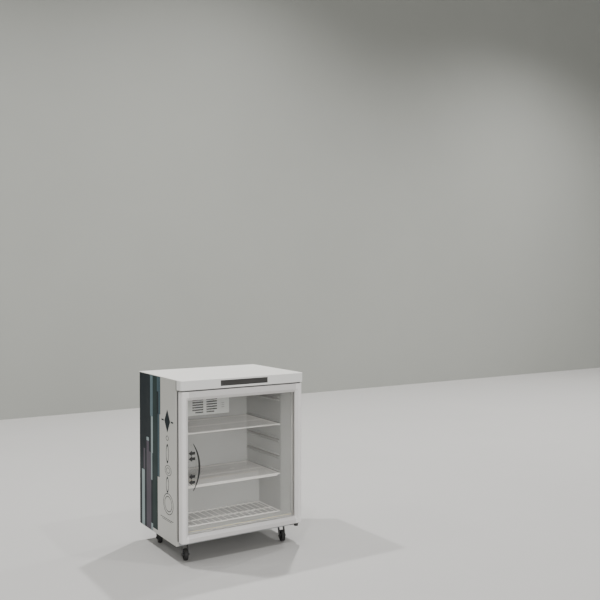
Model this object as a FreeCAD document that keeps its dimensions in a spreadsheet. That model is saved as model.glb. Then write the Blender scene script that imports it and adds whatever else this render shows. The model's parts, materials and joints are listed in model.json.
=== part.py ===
"""Small glass-door cabinet on castors: cabinet, glazed door, shelves, fan and castors.

Frame: origin on the floor under the middle of the cabinet, +X right, +Y back, +Z up, in mm.
In the code a depth is a distance behind the front plane of the door; row y = depth - half depth.
"""
import FreeCAD, Part
import Sketcher
import math
import os
import re

doc = FreeCAD.newDocument("glass_door_cabinet")
Vector = FreeCAD.Vector

# ---------------------------------------------------------------- driving dimensions

DIMENSIONS = {
    # overall
    "width": 600, "depth": 455, "height": 773,
    "sheet": 1, "fit": 0.1, "cover": 2,
    "screw_bore": 2.2, "screw_head": 3.8, "head_height": 2, "shank": 1.9, "shank_length": 4.6,
    "screw_across": 292,
    # cabinet body, front to back and bottom to top
    "setback": 46.5, "body_bottom": 76, "body_top": 771, "return_width": 13,
    "pan_top": 77.2, "skirt_top": 95, "fascia_bottom": 731, "back_face": 452,
    # liner cavity
    "liner": 1.5, "throat_half": 266, "throat_end": 101, "cavity_half": 239.5,
    "cavity_floor": 130, "cavity_ceiling": 700, "cavity_back": 418,
    "step_front": 299, "step_top": 280,
    # machinery compartment behind the step
    "bulkhead_face": 329, "compartment_top": 249,
    # shelf ledges
    "ledge_width": 8, "ledge_height": 9, "ledge_nose": 4, "ledge_front": 110, "ledge_back": 410,
    "ledge_low": 302, "ledge_pitch": 75.5, "ledge_high": 642, "keeper_gap": 10, "keeper_height": 4,
    # door frame and glazing
    "door_half": 295, "door_bottom": 95, "door_top": 726, "door_back": 40, "door_round": 10,
    "rail_round": 3, "stile": 33, "top_rail": 38, "bottom_rail": 31, "bevel": 13,
    "pane_face": 13.7, "bevel_depth": 11.7, "pane": 4, "air_gap": 12, "spacer_edge": 10.6, "rebate": 11,
    "seal_back": 45.9, "seal_width": 12, "seal_edge": 279,
    # hinges
    "hinge_across": 275, "hinge_depth": 21, "hinge_plate": 3, "pin_radius": 4,
    "bush_bore": 4.05, "bush_radius": 6, "bush_length": 14, "knuckle_radius": 10,
    # fascia and display
    "fascia_wall": 4, "fascia_round": 10, "fascia_edge": 3,
    "display_half": 115, "display_bottom": 740.5, "display_top": 764.7, "display_recess": 2.2,
    # shelves and floor grille
    "shelf_half": 236.5, "shelf_front": 104, "shelf_back": 408, "rod": 2.5, "wire": 1.5,
    "wire_pitch": 12, "lip_drop": 6, "shelf_low": 304.6, "shelf_high": 531.1,
    "grille_wire_pitch": 30, "grille_back": 292, "grille_half": 236,
    # evaporator fan and its cover
    "cover_half": 125, "cover_face": 386, "cover_bottom": 556, "cover_top": 692, "cover_wall": 2,
    "slot_low": 569.4, "slot_pitch": 11.9, "slot_rows": 10, "slot_height": 6.4, "slot_bar": 8,
    "slot_middle": -3.5, "slot_long": 64.5, "slot_short": 49.5,
    "slit_left": 84, "slit_right": 99, "slit_low": 586.5, "slit_pitch": 9.7, "slit_height": 3,
    "fan_height": 623, "fan_half": 60, "fan_bore": 57.5, "fan_front": 391, "fan_back": 412,
    "rotor_radius": 55.5, "rotor_hub": 20, "shaft": 2, "shaft_bore": 2.06,
    "blade_count": 7, "blade_chord": 22, "blade_sheet": 1.4, "blade_pitch": 48, "blade_middle": 9,
    # lamp
    "lamp_half": 150, "lamp_depth": 124, "lamp_height": 684, "lamp_tube": 7,
    # castors
    "castor_across": 240, "castor_front": 97.6, "castor_rear": 375.6, "wheel_radius": 25,
    "wheel_width": 18, "hub_width": 21.4, "trail": 20, "trail_angle": 12, "axle": 3,
    "axle_bore": 3.06, "fork_gap": 22, "fork_sheet": 2.5, "crown_bottom": 67.5, "crown": 2.5,
    "crown_radius": 17, "plate_bottom": 73.5, "plate_half_long": 30, "plate_half_wide": 25,
    "kingpin": 4, "kingpin_bore": 4.06, "bolt_long": 22, "bolt_wide": 17,
    "bolt": 2.9, "bolt_bore": 3.2, "bolt_head": 5, "bolt_head_height": 3.5,
    # compressor group
    "compressor_across": 150, "compressor_depth": 392, "compressor_radius": 52,
    "compressor_foot": 89, "compressor_top": 205, "dome_round": 16,
    "coil_tube": 2.5, "coil_left": -250, "coil_right": 55, "coil_depth": 436,
    "coil_low": 92, "coil_rise": 20, "inlet_across": 258,
    "drain_depth": 404, "drain_bore": 7, "pipe_across": 205, "pipe_depth": 421.6,
}


def fill_sheet():
    sheet = doc.addObject("Spreadsheet::Sheet", "dims")
    for row, (alias, number) in enumerate(DIMENSIONS.items(), start=1):
        sheet.set(f"A{row}", alias)
        sheet.set(f"B{row}", str(number))
        sheet.setAlias(f"B{row}", alias)
    doc.recompute()
    return sheet


dims = fill_sheet()
WORD = re.compile(r"[a-z][a-z_]*")


def bind(item, name, text):
    """Bind a property to an expression over the sheet's aliases."""
    item.setExpression(name, WORD.sub(lambda found: "dims." + found.group(0), str(text)))


def size(alias):
    return float(dims.get(alias))


def place(item, x, y, z, turn=None):
    """Put an item at x, at depth y behind the front plane, and at height z."""
    if turn:
        item.Placement = FreeCAD.Placement(Vector(0, 0, 0), turn)
    bind(item, "Placement.Base.x", x)
    bind(item, "Placement.Base.y", f"({y}) - depth / 2")
    bind(item, "Placement.Base.z", z)
    return item


# ---------------------------------------------------------------- shape helpers

ALONG = {
    "z": FreeCAD.Rotation(),
    "y": FreeCAD.Rotation(Vector(1, 0, 0), -90),
    "x": FreeCAD.Rotation(Vector(0, 1, 0), 90),
}


def box(label, x, y, z):
    """A box from x[0] to x[1], depth y[0] to y[1] and height z[0] to z[1]."""
    item = doc.addObject("Part::Box", label)
    for name, span in (("Length", x), ("Width", y), ("Height", z)):
        bind(item, name, f"({span[1]}) - ({span[0]})")
    return place(item, x[0], y[0], z[0])


def rod(label, radius, length, at, along="z"):
    """A cylinder from the point at, running along one axis."""
    item = doc.addObject("Part::Cylinder", label)
    bind(item, "Radius", radius)
    bind(item, "Height", length)
    return place(item, *at, turn=ALONG[along])


def fuse(label, items):
    item = doc.addObject("Part::MultiFuse", label)
    item.Shapes = items
    return item


def cut(label, base, tools):
    tool = tools[0] if len(tools) == 1 else fuse(label + "_tools", tools)
    item = doc.addObject("Part::Cut", label)
    item.Base = base
    item.Tool = tool
    return item


def group(label, items):
    """Separate solids that share one node."""
    item = doc.addObject("Part::Compound", label)
    item.Links = items
    return item


def mirrored(label, source):
    """The same piece on the other side of the cabinet."""
    item = doc.addObject("Part::Mirroring", label)
    item.Source = source
    item.Normal = Vector(1, 0, 0)
    return item


def rounded(label, base, radius, wanted):
    """Round the edges of base whose middle passes the test wanted."""
    doc.recompute()
    edges = []
    for number, edge in enumerate(base.Shape.Edges, start=1):
        middle = edge.valueAt((edge.FirstParameter + edge.LastParameter) / 2)
        middle.y += size("depth") / 2
        if wanted(middle, edge):
            edges.append((number, size(radius), size(radius)))
    item = doc.addObject("Part::Fillet", label)
    item.Base = base
    item.Edges = edges
    return item


def own_shape(label, shape):
    """A piece whose shape is worked out in this file."""
    item = doc.addObject("Part::Feature", label)
    item.Shape = shape
    return item


def row(x, y, z):
    """A point given by its depth behind the front plane, in the row frame."""
    return Vector(x, y - size("depth") / 2, z)


def tube(label, radius, points, bend):
    """A round tube along straight runs joined by tangent arcs."""
    corners = [row(*point) for point in points]
    edges = []
    start = corners[0]
    for before, corner, after in zip(corners, corners[1:], corners[2:]):
        inward = (before - corner).normalize()
        outward = (after - corner).normalize()
        half = inward.getAngle(outward) / 2
        reach = bend / math.tan(half)
        first = corner + inward * reach
        last = corner + outward * reach
        centre = corner + (inward + outward).normalize() * (bend / math.sin(half))
        middle = centre + (corner - centre).normalize() * bend
        edges.append(Part.LineSegment(start, first).toShape())
        edges.append(Part.Arc(first, middle, last).toShape())
        start = last
    edges.append(Part.LineSegment(start, corners[-1]).toShape())
    path = Part.Wire(edges)
    ring = Part.Wire([Part.makeCircle(radius, corners[0], corners[1] - corners[0])])
    return own_shape(label, path.makePipeShell([ring], True, False))


def sketched(body, role, name):
    """A sketch on one of the body's own origin planes."""
    sketch = body.newObject("Sketcher::SketchObject", name)
    plane = [item for item in body.Origin.OriginFeatures if item.Role == role][0]
    sketch.AttachmentSupport = [(plane, "")]
    sketch.MapMode = "FlatFace"
    return sketch


def rectangle(sketch, left, right, low, high):
    """A rectangle in the positive quadrant, each side bound to the sheet."""
    doc.recompute()
    corners = [Vector(1, 1, 0), Vector(9, 1, 0), Vector(9, 9, 0), Vector(1, 9, 0)]
    for start, end in zip(corners, corners[1:] + corners[:1]):
        sketch.addGeometry(Part.LineSegment(start, end))
    for number in range(4):
        sketch.addConstraint(Sketcher.Constraint("Coincident", number, 2, (number + 1) % 4, 1))
    for kind, line in (("Horizontal", 0), ("Vertical", 1), ("Horizontal", 2), ("Vertical", 3)):
        sketch.addConstraint(Sketcher.Constraint(kind, line))
    for kind, line, point, text in (("DistanceX", 0, 1, left), ("DistanceX", 1, 1, right),
                                    ("DistanceY", 0, 1, low), ("DistanceY", 2, 1, high)):
        number = sketch.addConstraint(Sketcher.Constraint(kind, -1, 1, line, point, 5.0))
        bind(sketch, f"Constraints[{number}]", text)


# ---------------------------------------------------------------- cabinet shell

def side_panels():
    """Folded steel sides with a return at the front and at the back."""
    outer = "-width / 2"
    inner = f"{outer} + sheet"
    fold = f"{outer} + return_width"
    full = ("body_bottom", "body_top - fit")
    wall = box("side_sheet", (outer, inner), ("setback", "back_face"), full)
    front = box("side_front_return", (outer, fold), ("setback", "setback + sheet"), full)
    back = box("side_back_return", (outer, fold), ("back_face - sheet", "back_face"), full)
    sheet = fuse("side_panel_sheet", [wall, front, back])
    heights = [height for across, height in rear_screw_places() if across == "-screw_across"]
    holes = [screw_hole(f"side_hole_{number}", "-screw_across", "back_face - 5", height)
             for number, height in enumerate(heights)]
    left = cut("left_side_panel", sheet, holes)
    return [left, mirrored("right_side_panel", left)]


def base_pan():
    """Floor of the body, with a front skirt under the door and an upstand at the back."""
    side = "width / 2 - return_width - fit"
    wide = "width / 2 - sheet - fit"
    floor_from = "setback + sheet + fit"
    floor_to = "back_face - sheet - fit"
    floor = box("pan_floor", (f"-({wide})", wide), (floor_from, floor_to), ("body_bottom", "pan_top"))
    lip = box("pan_lip", (f"-({side})", side), ("setback", "setback + 3 * sheet"),
              ("body_bottom", "pan_top"))
    skirt = box("pan_skirt", (f"-({side})", side), ("setback", "setback + sheet"),
                ("body_bottom", "skirt_top"))
    back = box("pan_back", (f"-({side})", side), (f"{floor_to} - sheet", floor_to),
               ("body_bottom", "skirt_top"))
    pan = fuse("pan_sheet", [floor, lip, skirt, back])
    holes = [rod(f"pan_hole_{number}", "bolt_bore", "6", (*at, "body_bottom - 2"))
             for number, at in enumerate(bolt_places())]
    holes += [screw_hole(f"skirt_hole_{number}", across, "setback - 5", height)
              for number, (across, height) in enumerate(hinge_screw_places()[2:])]
    return cut("base_pan", pan, holes)


def rear_panel():
    span = ("-width / 2 + sheet", "width / 2 - sheet")
    plate = box("rear_sheet", span, ("back_face", "back_face + sheet"),
                ("compartment_top + 2 * sheet", "body_top - fit"))
    holes = [screw_hole(f"rear_hole_{number}", across, "back_face - 5", height)
             for number, (across, height) in enumerate(rear_screw_places()[:8])]
    return cut("rear_panel", plate, holes)


def compartment_cover():
    """Louvred steel cover over the machinery at the back."""
    span = ("-width / 2 + sheet", "width / 2 - sheet")
    plate = box("cover_plate", span, ("back_face", "back_face + sheet"),
                ("body_bottom", "compartment_top + sheet"))
    slots = [screw_hole(f"cover_hole_{number}", across, "back_face - 5", height)
             for number, (across, height) in enumerate(rear_screw_places()[8:])]
    for column in range(4):
        left = f"-232 + {column} * 120"
        for line in range(9):
            low = f"body_bottom + 26 + {line} * 15"
            slots.append(box(f"louvre_{column}_{line}", (left, f"{left} + 96"),
                             ("back_face - 1", "depth + 1"), (low, f"{low} + 6")))
    inlet = box("inlet_hole", ("inlet_across - 14", "inlet_across + 14"),
                ("back_face - 1", "depth + 1"), ("body_bottom + 58", "body_bottom + 78"))
    return cut("compartment_cover", plate, slots + [inlet])


def top_cover():
    """One flat sheet over the body and the fascia, with rounded front corners."""
    body = doc.addObject("PartDesign::Body", "top_cover")
    sketch = sketched(body, "XY_Plane", "top_outline")
    rectangle(sketch, "0", "width", "0", "depth")
    pad = body.newObject("PartDesign::Pad", "top_sheet")
    pad.Profile = sketch
    bind(pad, "Length", "cover")
    place(body, "-width / 2", "0", "body_top")
    doc.recompute()
    corners = [f"Edge{number}" for number, edge in enumerate(pad.Shape.Edges, start=1)
               if edge.BoundBox.ZLength > 1 and edge.BoundBox.YMax < 1]
    corner_round = body.newObject("PartDesign::Fillet", "top_corner_round")
    corner_round.Base = (pad, corners)
    bind(corner_round, "Radius", "fascia_round")
    doc.recompute()
    rim = [f"Edge{number}" for number, edge in enumerate(corner_round.Shape.Edges, start=1)
           if edge.BoundBox.ZMin > size("cover") - 0.1]
    rim_round = body.newObject("PartDesign::Fillet", "top_rim_round")
    rim_round.Base = (corner_round, rim)
    bind(rim_round, "Radius", "sheet")
    body.Tip = rim_round
    return body


def front_fascia():
    """Hollow moulding above the door, open at the back, with a recess for the display."""
    body = doc.addObject("PartDesign::Body", "fascia_moulding")
    outline = sketched(body, "XY_Plane", "fascia_outline")
    rectangle(outline, "0", "width", "0", "setback - fit")
    pad = body.newObject("PartDesign::Pad", "fascia_block")
    pad.Profile = outline
    bind(pad, "Length", "body_top - fit - fascia_bottom")
    place(body, "-width / 2", "0", "fascia_bottom")
    doc.recompute()
    ends = [f"Edge{number}" for number, edge in enumerate(pad.Shape.Edges, start=1)
            if edge.BoundBox.ZLength > 5 and edge.BoundBox.YMax < 1]
    end_round = body.newObject("PartDesign::Fillet", "fascia_end_round")
    end_round.Base = (pad, ends)
    bind(end_round, "Radius", "fascia_round")
    doc.recompute()
    lower = [f"Edge{number}" for number, edge in enumerate(end_round.Shape.Edges, start=1)
             if edge.BoundBox.ZMax < 0.1 and edge.BoundBox.YMin < 1 and edge.BoundBox.YMax < 20]
    lower_round = body.newObject("PartDesign::Fillet", "fascia_lower_round")
    lower_round.Base = (end_round, lower)
    bind(lower_round, "Radius", "fascia_edge")
    body.Tip = lower_round
    hollow = box("fascia_hollow", ("-width / 2 + fascia_wall", "width / 2 - fascia_wall"),
                 ("fascia_wall", "setback"), ("fascia_bottom + fascia_wall", "body_top - fascia_wall"))
    recess = box("display_pocket", ("-display_half - fit", "display_half + fit"),
                 ("-1", "display_recess"), ("display_bottom - fit", "display_top + fit"))
    notch = box("hinge_notch", ("hinge_across - 21", "hinge_across + 18"),
                ("setback - hinge_plate - 1", "setback"),
                ("fascia_bottom - 1", "fascia_bottom + fascia_wall + 1"))
    return cut("front_fascia", body, [hollow, recess, notch])


def display():
    window = box("display_window", ("-display_half", "display_half"), ("0.2", "display_recess"),
                 ("display_bottom", "display_top"))
    board = box("board", ("-70", "70"), ("12", "13.6"), ("display_bottom", "display_top"))
    readout = box("readout", ("-24", "24"), ("fascia_wall + 0.4", "12"),
                  ("display_bottom + 4", "display_top - 4"))
    relay = box("relay", ("40", "59"), ("13.6", "29"), ("display_bottom + 4", "display_top - 4"))
    return [window, fuse("control_board", [board, readout, relay])]


# ---------------------------------------------------------------- liner and insulation

def cavity(label, grow):
    """The storage space, grown by the expression grow for the liner's outside."""
    throat = doc.addObject("Part::Wedge", label + "_throat")
    low = f"cavity_floor - {grow}"
    high = f"cavity_ceiling + {grow}"
    for name, text in (("Xmin", f"-throat_half - {grow}"), ("Xmax", f"throat_half + {grow}"),
                       ("X2min", f"-cavity_half - {grow}"), ("X2max", f"cavity_half + {grow}"),
                       ("Ymin", "setback"), ("Ymax", "throat_end"),
                       ("Zmin", low), ("Z2min", low), ("Zmax", high), ("Z2max", high)):
        bind(throat, name, text)
    place(throat, "0", "0", "0")
    room = box(label + "_room", (f"-cavity_half - {grow}", f"cavity_half + {grow}"),
               ("throat_end", f"cavity_back + {grow}"), (low, high))
    step = box(label + "_step", ("-width", "width"), (f"step_front + {grow}", "depth"),
               ("0", f"step_top - {grow}"))
    return cut(label, fuse(label + "_whole", [throat, room]), [step])


def ledge_heights():
    heights = [f"ledge_low + {number} * ledge_pitch" for number in range(4)]
    return heights + ["ledge_high"]


def ledge(label, top):
    """A shelf ledge on the right wall, with a sloping underside."""
    item = doc.addObject("Part::Wedge", label)
    for name, text in (("Xmin", "ledge_nose"), ("X2min", "0"),
                       ("Xmax", "ledge_width"), ("X2max", "ledge_width"),
                       ("Ymin", "0"), ("Ymax", "ledge_height"),
                       ("Zmin", "0"), ("Zmax", "ledge_back - ledge_front"),
                       ("Z2min", "0"), ("Z2max", "ledge_back - ledge_front")):
        bind(item, name, text)
    upright = FreeCAD.Rotation(Vector(1, 0, 0), 90)
    return place(item, "cavity_half + 0.5 - ledge_width", "ledge_back",
                 f"{top} - ledge_height", turn=upright)


def keeper(label, top):
    """A rib over a ledge on the right wall, so that a shelf can't tip."""
    return box(label, ("cavity_half + 0.5 - ledge_width", "cavity_half + 0.5"),
               ("ledge_front", "ledge_back"),
               (f"{top} + keeper_gap", f"{top} + keeper_gap + keeper_height"))


def inner_liner(inside, outside):
    """Moulded liner: throat, ribbed side walls, step over the machinery and front flange."""
    flange = box("liner_flange", ("-width / 2 + return_width + fit", "width / 2 - return_width - fit"),
                 ("setback", "setback + liner"), ("skirt_top + fit", "body_top - fit"))
    drain = rod("liner_drain", "drain_bore", "liner * 4",
                ("compressor_across", "drain_depth", "step_top - 3 * liner"))
    holes = [screw_hole(f"flange_hole_{number}", across, "setback - 5", height)
             for number, (across, height) in enumerate(hinge_screw_places()[:2])]
    shell = cut("liner_shell", fuse("liner_mass", [outside, flange]), [inside, drain] + holes)
    right = [ledge(f"ledge_{number}", top) for number, top in enumerate(ledge_heights())]
    right += [keeper(f"keeper_{number}", top) for number, top in enumerate(ledge_heights())]
    left = [mirrored(item.Label + "_left", item) for item in right]
    return fuse("inner_liner", [shell] + right + left)


def insulation_foam(outside):
    """Foam between the liner and the outer sheets, in convex slabs."""
    wide = "width / 2 - sheet - fit"
    inner = "cavity_half + liner + fit"
    front = "setback + liner + fit"
    back = "back_face - 4 * sheet"
    low = "cavity_floor - liner - fit"
    high = "cavity_ceiling + liner + fit"
    gap = "bulkhead_face - fit"
    above = "compartment_top + sheet + fit"
    behind = "cavity_back + liner + 4.5"
    lid = "step_top - liner - fit"
    slabs = [
        box("foam_floor", (f"-({wide})", wide), (front, gap), ("pan_top + fit", low)),
        box("foam_top", (f"-({wide})", wide), (front, back), (high, "body_top - fit")),
        box("foam_back", (f"-({inner})", inner), (behind, back), (above, high)),
        box("foam_step_front", (f"-({inner})", inner), ("step_front + liner + fit", gap), (low, lid)),
    ]
    lid_slab = box("foam_step_lid", (f"-({inner})", inner), (gap, behind), (above, lid))
    drain = rod("foam_drain", "drain_bore", "60",
                ("compressor_across", "drain_depth", "compartment_top - 10"))
    slabs.append(cut("foam_step_top", lid_slab, [drain]))
    near = box("foam_side_block", (inner, wide), (front, gap), (low, high))
    flared = cut("foam_side_front", near, [outside])
    far = box("foam_side_back", (inner, wide), (gap, back), (above, high))
    slabs += [flared, far, mirrored("foam_side_front_left", flared),
              mirrored("foam_side_back_left", far)]
    return group("insulation_foam", slabs)


def compartment_bulkhead():
    """Steel wall between the foam and the machinery."""
    span = ("-width / 2 + sheet + fit", "width / 2 - sheet - fit")
    wall = box("bulkhead_wall", span, ("bulkhead_face", "bulkhead_face + sheet"),
               ("pan_top + fit", "compartment_top + sheet"))
    lid = box("bulkhead_lid", span, ("bulkhead_face", "back_face - sheet - 2 * fit"),
              ("compartment_top", "compartment_top + sheet"))
    drain = rod("bulkhead_drain", "drain_bore", "10",
                ("compressor_across", "drain_depth", "compartment_top - 4"))
    pipe = rod("bulkhead_pipe", "5", "10", ("pipe_across", "pipe_depth", "compartment_top - 4"))
    return cut("compartment_bulkhead", fuse("bulkhead_sheet", [wall, lid]), [drain, pipe])


# ---------------------------------------------------------------- cooling and lamp

def fan_cover():
    """Moulded cover on the back wall, with two columns of slots and three small slits."""
    outer = box("fan_cover_block", ("-cover_half", "cover_half"), ("cover_face", "cavity_back - fit"),
                ("cover_bottom", "cover_top"))
    softened = rounded("fan_cover_rounded", outer, "rail_round",
                       lambda middle, edge: middle.y < size("cover_face") + 1)
    hollow = box("fan_cover_hollow", ("-cover_half + cover_wall", "cover_half - cover_wall"),
                 ("cover_face + cover_wall", "cavity_back"),
                 ("cover_bottom + cover_wall", "cover_top - cover_wall"))
    depth = ("cover_face - 1", "cover_face + cover_wall + 1")
    last = int(size("slot_rows")) - 1
    slots = []
    for line in range(last + 1):
        reach = "slot_short" if line in (0, last) else "slot_long"
        middle = f"slot_low + {line} * slot_pitch"
        height = (f"{middle} - slot_height / 2", f"{middle} + slot_height / 2")
        left = (f"slot_middle - {reach}", "slot_middle - slot_bar")
        right = ("slot_middle + slot_bar", f"slot_middle + {reach}")
        slots.append(box(f"slot_{line}_left", left, depth, height))
        slots.append(box(f"slot_{line}_right", right, depth, height))
    for line in range(3):
        middle = f"slit_low + {line} * slit_pitch"
        height = (f"{middle} - slit_height / 2", f"{middle} + slit_height / 2")
        slots.append(box(f"slit_{line}", ("slit_left", "slit_right"), depth, height))
    return cut("fan_cover", softened, [hollow] + slots)


def fan_frame():
    """Square fan housing with a round throat, three struts and a bored boss."""
    half = "fan_half"
    axis = ("0", "fan_back - 3", "fan_height")
    block = box("fan_block", (f"-{half}", half), ("fan_front", "fan_back"),
                (f"fan_height - {half}", f"fan_height + {half}"))
    throat = rod("fan_throat", "fan_bore", "40", ("0", "fan_front - 5", "fan_height"), "y")
    ring = cut("fan_ring", block, [throat])
    boss = rod("fan_boss", "rotor_hub", "3", axis, "y")
    bearing = rod("fan_bearing", "6", "8", ("0", "fan_back - 11", "fan_height"), "y")
    bar = box("fan_strut_bar", ("-fan_bore - 2", "fan_bore + 2"), ("fan_back - 3", "fan_back"),
              ("fan_height - 3", "fan_height + 3"))
    post = box("fan_strut_post", ("-3", "3"), ("fan_back - 3", "fan_back"),
               ("fan_height - fan_bore - 2", "fan_height + fan_bore + 2"))
    bore = rod("fan_shaft_bore", "shaft_bore", "30", ("0", "fan_back - 15", "fan_height"), "y")
    return cut("fan_frame", fuse("fan_frame_mass", [ring, boss, bearing, bar, post]), [bore])


def fan_rotor():
    """Hub cup, pitched blades and the shaft that turns in the housing's boss."""
    height = "fan_height"
    cup = rod("rotor_cup", "rotor_hub", "14", ("0", "fan_front + 1", height), "y")
    hollow = rod("rotor_hollow", "rotor_hub - 2", "14", ("0", "fan_front + 3", height), "y")
    shaft = rod("rotor_shaft", "shaft", "18", ("0", "fan_front + 2.5", height), "y")
    parts = [cut("rotor_shell", cup, [hollow]), shaft]
    centre = row(0, size("fan_front") + size("blade_middle"), size("fan_height"))
    root = size("rotor_hub") - 1
    thick = size("blade_sheet")
    chord = size("blade_chord")
    corner = Vector(-thick / 2, -chord / 2, root)
    for number in range(int(size("blade_count"))):
        blade = Part.makeBox(thick, chord, size("rotor_radius") - root, corner)
        blade.rotate(Vector(0, 0, 0), Vector(0, 0, 1), size("blade_pitch"))
        blade.rotate(Vector(0, 0, 0), Vector(0, 1, 0), number * 360 / size("blade_count"))
        blade.translate(centre)
        parts.append(own_shape(f"blade_{number}", blade))
    return fuse("fan_rotor", parts)


def evaporator_plate():
    """Cold plate behind the liner's back wall, with its serpentine channel."""
    face = "cavity_back + liner + fit"
    plate = box("cold_plate", ("-170", "170"), (face, f"{face} + 1"), ("400", "660"))
    level = size("cavity_back") + size("liner") + size("fit") + 2.4
    points = []
    for line in range(6):
        height = 420 + 44 * line
        ends = (-150, 150) if line % 2 == 0 else (150, -150)
        points += [(ends[0], level, height), (ends[1], level, height)]
    channel = tube("cold_channel", 1.5, points, 14)
    return fuse("evaporator_plate", [plate, channel])


def lamp():
    """Lamp under the ceiling: a channel with two holders, and the tube between them."""
    top = "cavity_ceiling - fit"
    channel = box("lamp_channel", ("-lamp_half - 12", "lamp_half + 12"),
                  ("lamp_depth - 13", "lamp_depth + 13"), ("cavity_ceiling - 5", top))
    holders = [box(f"lamp_holder_{name}", span, ("lamp_depth - 9", "lamp_depth + 9"),
                   ("lamp_height - 9", "cavity_ceiling - 5"))
               for name, span in (("left", ("-lamp_half - 10", "-lamp_half")),
                                  ("right", ("lamp_half", "lamp_half + 10")))]
    glass = rod("lamp_glass", "lamp_tube", "2 * lamp_half - 2 * fit",
                ("-lamp_half + fit", "lamp_depth", "lamp_height"), "x")
    glass.Label = "lamp_tube"
    return [fuse("lamp_holder", [channel] + holders), glass]


def compressor():
    """Hermetic compressor on its foot plate, with grommets and a start relay."""
    centre = ("compressor_across", "compressor_depth")
    foot = "compressor_foot"
    can = rod("compressor_can", "compressor_radius", "compressor_top - compressor_foot - 2",
              (*centre, f"{foot} + 2"))
    domed = rounded("compressor_domed", can, "dome_round",
                    lambda middle, edge: middle.z > size("compressor_top") - 1)
    seam = rod("compressor_seam", "compressor_radius + 2.5", "4", (*centre, f"{foot} + 62"))
    stub = rod("compressor_stub", "3.2", "12",
               ("compressor_across - compressor_radius - 8", "compressor_depth", "170"), "x")
    plate = box("compressor_foot_plate", ("compressor_across - 75", "compressor_across + 75"),
                ("compressor_depth - 45", "compressor_depth + 45"), (foot, f"{foot} + 2"))
    holes = []
    grommets = []
    for across in (-64, 64):
        for deep in (-34, 34):
            at = (f"compressor_across + {across}", f"compressor_depth + {deep}")
            name = f"{'a' if across < 0 else 'b'}{'a' if deep < 0 else 'b'}"
            holes.append(rod("foot_hole_" + name, "5", "10", (*at, f"{foot} - 4")))
            post = rod("grommet_" + name, "8.5", f"{foot} - pan_top", (*at, "pan_top"))
            neck = rod("grommet_neck_" + name, "5", "2", (*at, foot))
            head = rod("grommet_head_" + name, "7.5", "3", (*at, f"{foot} + 2"))
            grommets.append(fuse("grommet_whole_" + name, [post, neck, head]))
    shell = cut("compressor_shell", fuse("compressor_mass", [domed, seam, stub, plate]), holes)
    relay = box("start_relay", ("compressor_across + compressor_radius + 2.6",
                                "compressor_across + compressor_radius + 26"),
                ("compressor_depth - 22", "compressor_depth + 22"), ("112", "158"))
    return [shell, group("compressor_grommets", grommets), relay]


def condenser_coil():
    """Serpentine tube with upright wires welded along it."""
    points = []
    for line in range(7):
        height = size("coil_low") + size("coil_rise") * line
        ends = ("coil_left", "coil_right") if line % 2 == 0 else ("coil_right", "coil_left")
        points += [(size(end), size("coil_depth"), height) for end in ends]
    serpentine = tube("coil_serpentine", size("coil_tube"), points, 9)
    wires = []
    for number in range(14):
        across = f"coil_left + 24 + {number} * 20"
        wires.append(rod(f"coil_wire_{number}", "0.8", "6 * coil_rise + 8",
                         (across, "coil_depth - coil_tube - 0.6", "coil_low - 4")))
    return fuse("condenser_coil", [serpentine] + wires)


def refrigerant_pipes():
    """Filter drier, hot gas pipe and suction pipe."""
    body = rod("drier_body", "9", "70", ("-30", "372", "120"), "x")
    neck = rod("drier_neck", "3", "90", ("-40", "372", "120"), "x")
    drier = fuse("filter_drier", [body, neck])
    stub = size("compressor_across") - size("compressor_radius") - 8
    middle = size("compressor_depth")
    coil_end = size("coil_right")
    coil_top = size("coil_low") + 6 * size("coil_rise")
    behind = size("coil_depth")
    hot = tube("discharge_pipe", 2.4, [(stub - 0.2, middle, 170), (74, middle, 170),
                                       (74, middle, 232), (74, behind, 232),
                                       (74, behind, coil_top), (coil_end + 0.2, behind, coil_top)], 7)
    across = size("pipe_across")
    behind = size("pipe_depth")
    inlet = size("compressor_across") + 26
    cold = tube("suction_pipe", 3, [(across, behind, size("compartment_top") + size("sheet")),
                                    (across, behind, 232), (across, middle, 232),
                                    (inlet, middle, 232), (inlet, middle, 205.2)], 7)
    return [drier, hot, cold]


def drain():
    """Drain from the liner's step to the tray over the compressor."""
    centre = ("compressor_across", "drain_depth")
    outer = rod("drain_outer", "6.8", "step_top - 226", (*centre, "226"))
    flange = rod("drain_flange", "11", "1.5", (*centre, "step_top + fit"))
    neck = rod("drain_neck", "6.8", "2", (*centre, "step_top - 1"))
    hole = rod("drain_hole", "5", "80", (*centre, "220"))
    pipe = cut("drain_tube", fuse("drain_mass", [outer, flange, neck]), [hole])
    tray = box("tray_block", ("compressor_across - 48", "compressor_across + 14"),
               ("compressor_depth - 40", "compressor_depth + 40"), ("compressor_top + 2", "222"))
    space = box("tray_space", ("compressor_across - 46", "compressor_across + 12"),
                ("compressor_depth - 38", "compressor_depth + 38"), ("compressor_top + 4", "230"))
    return [pipe, cut("drip_tray", tray, [space])]


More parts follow.
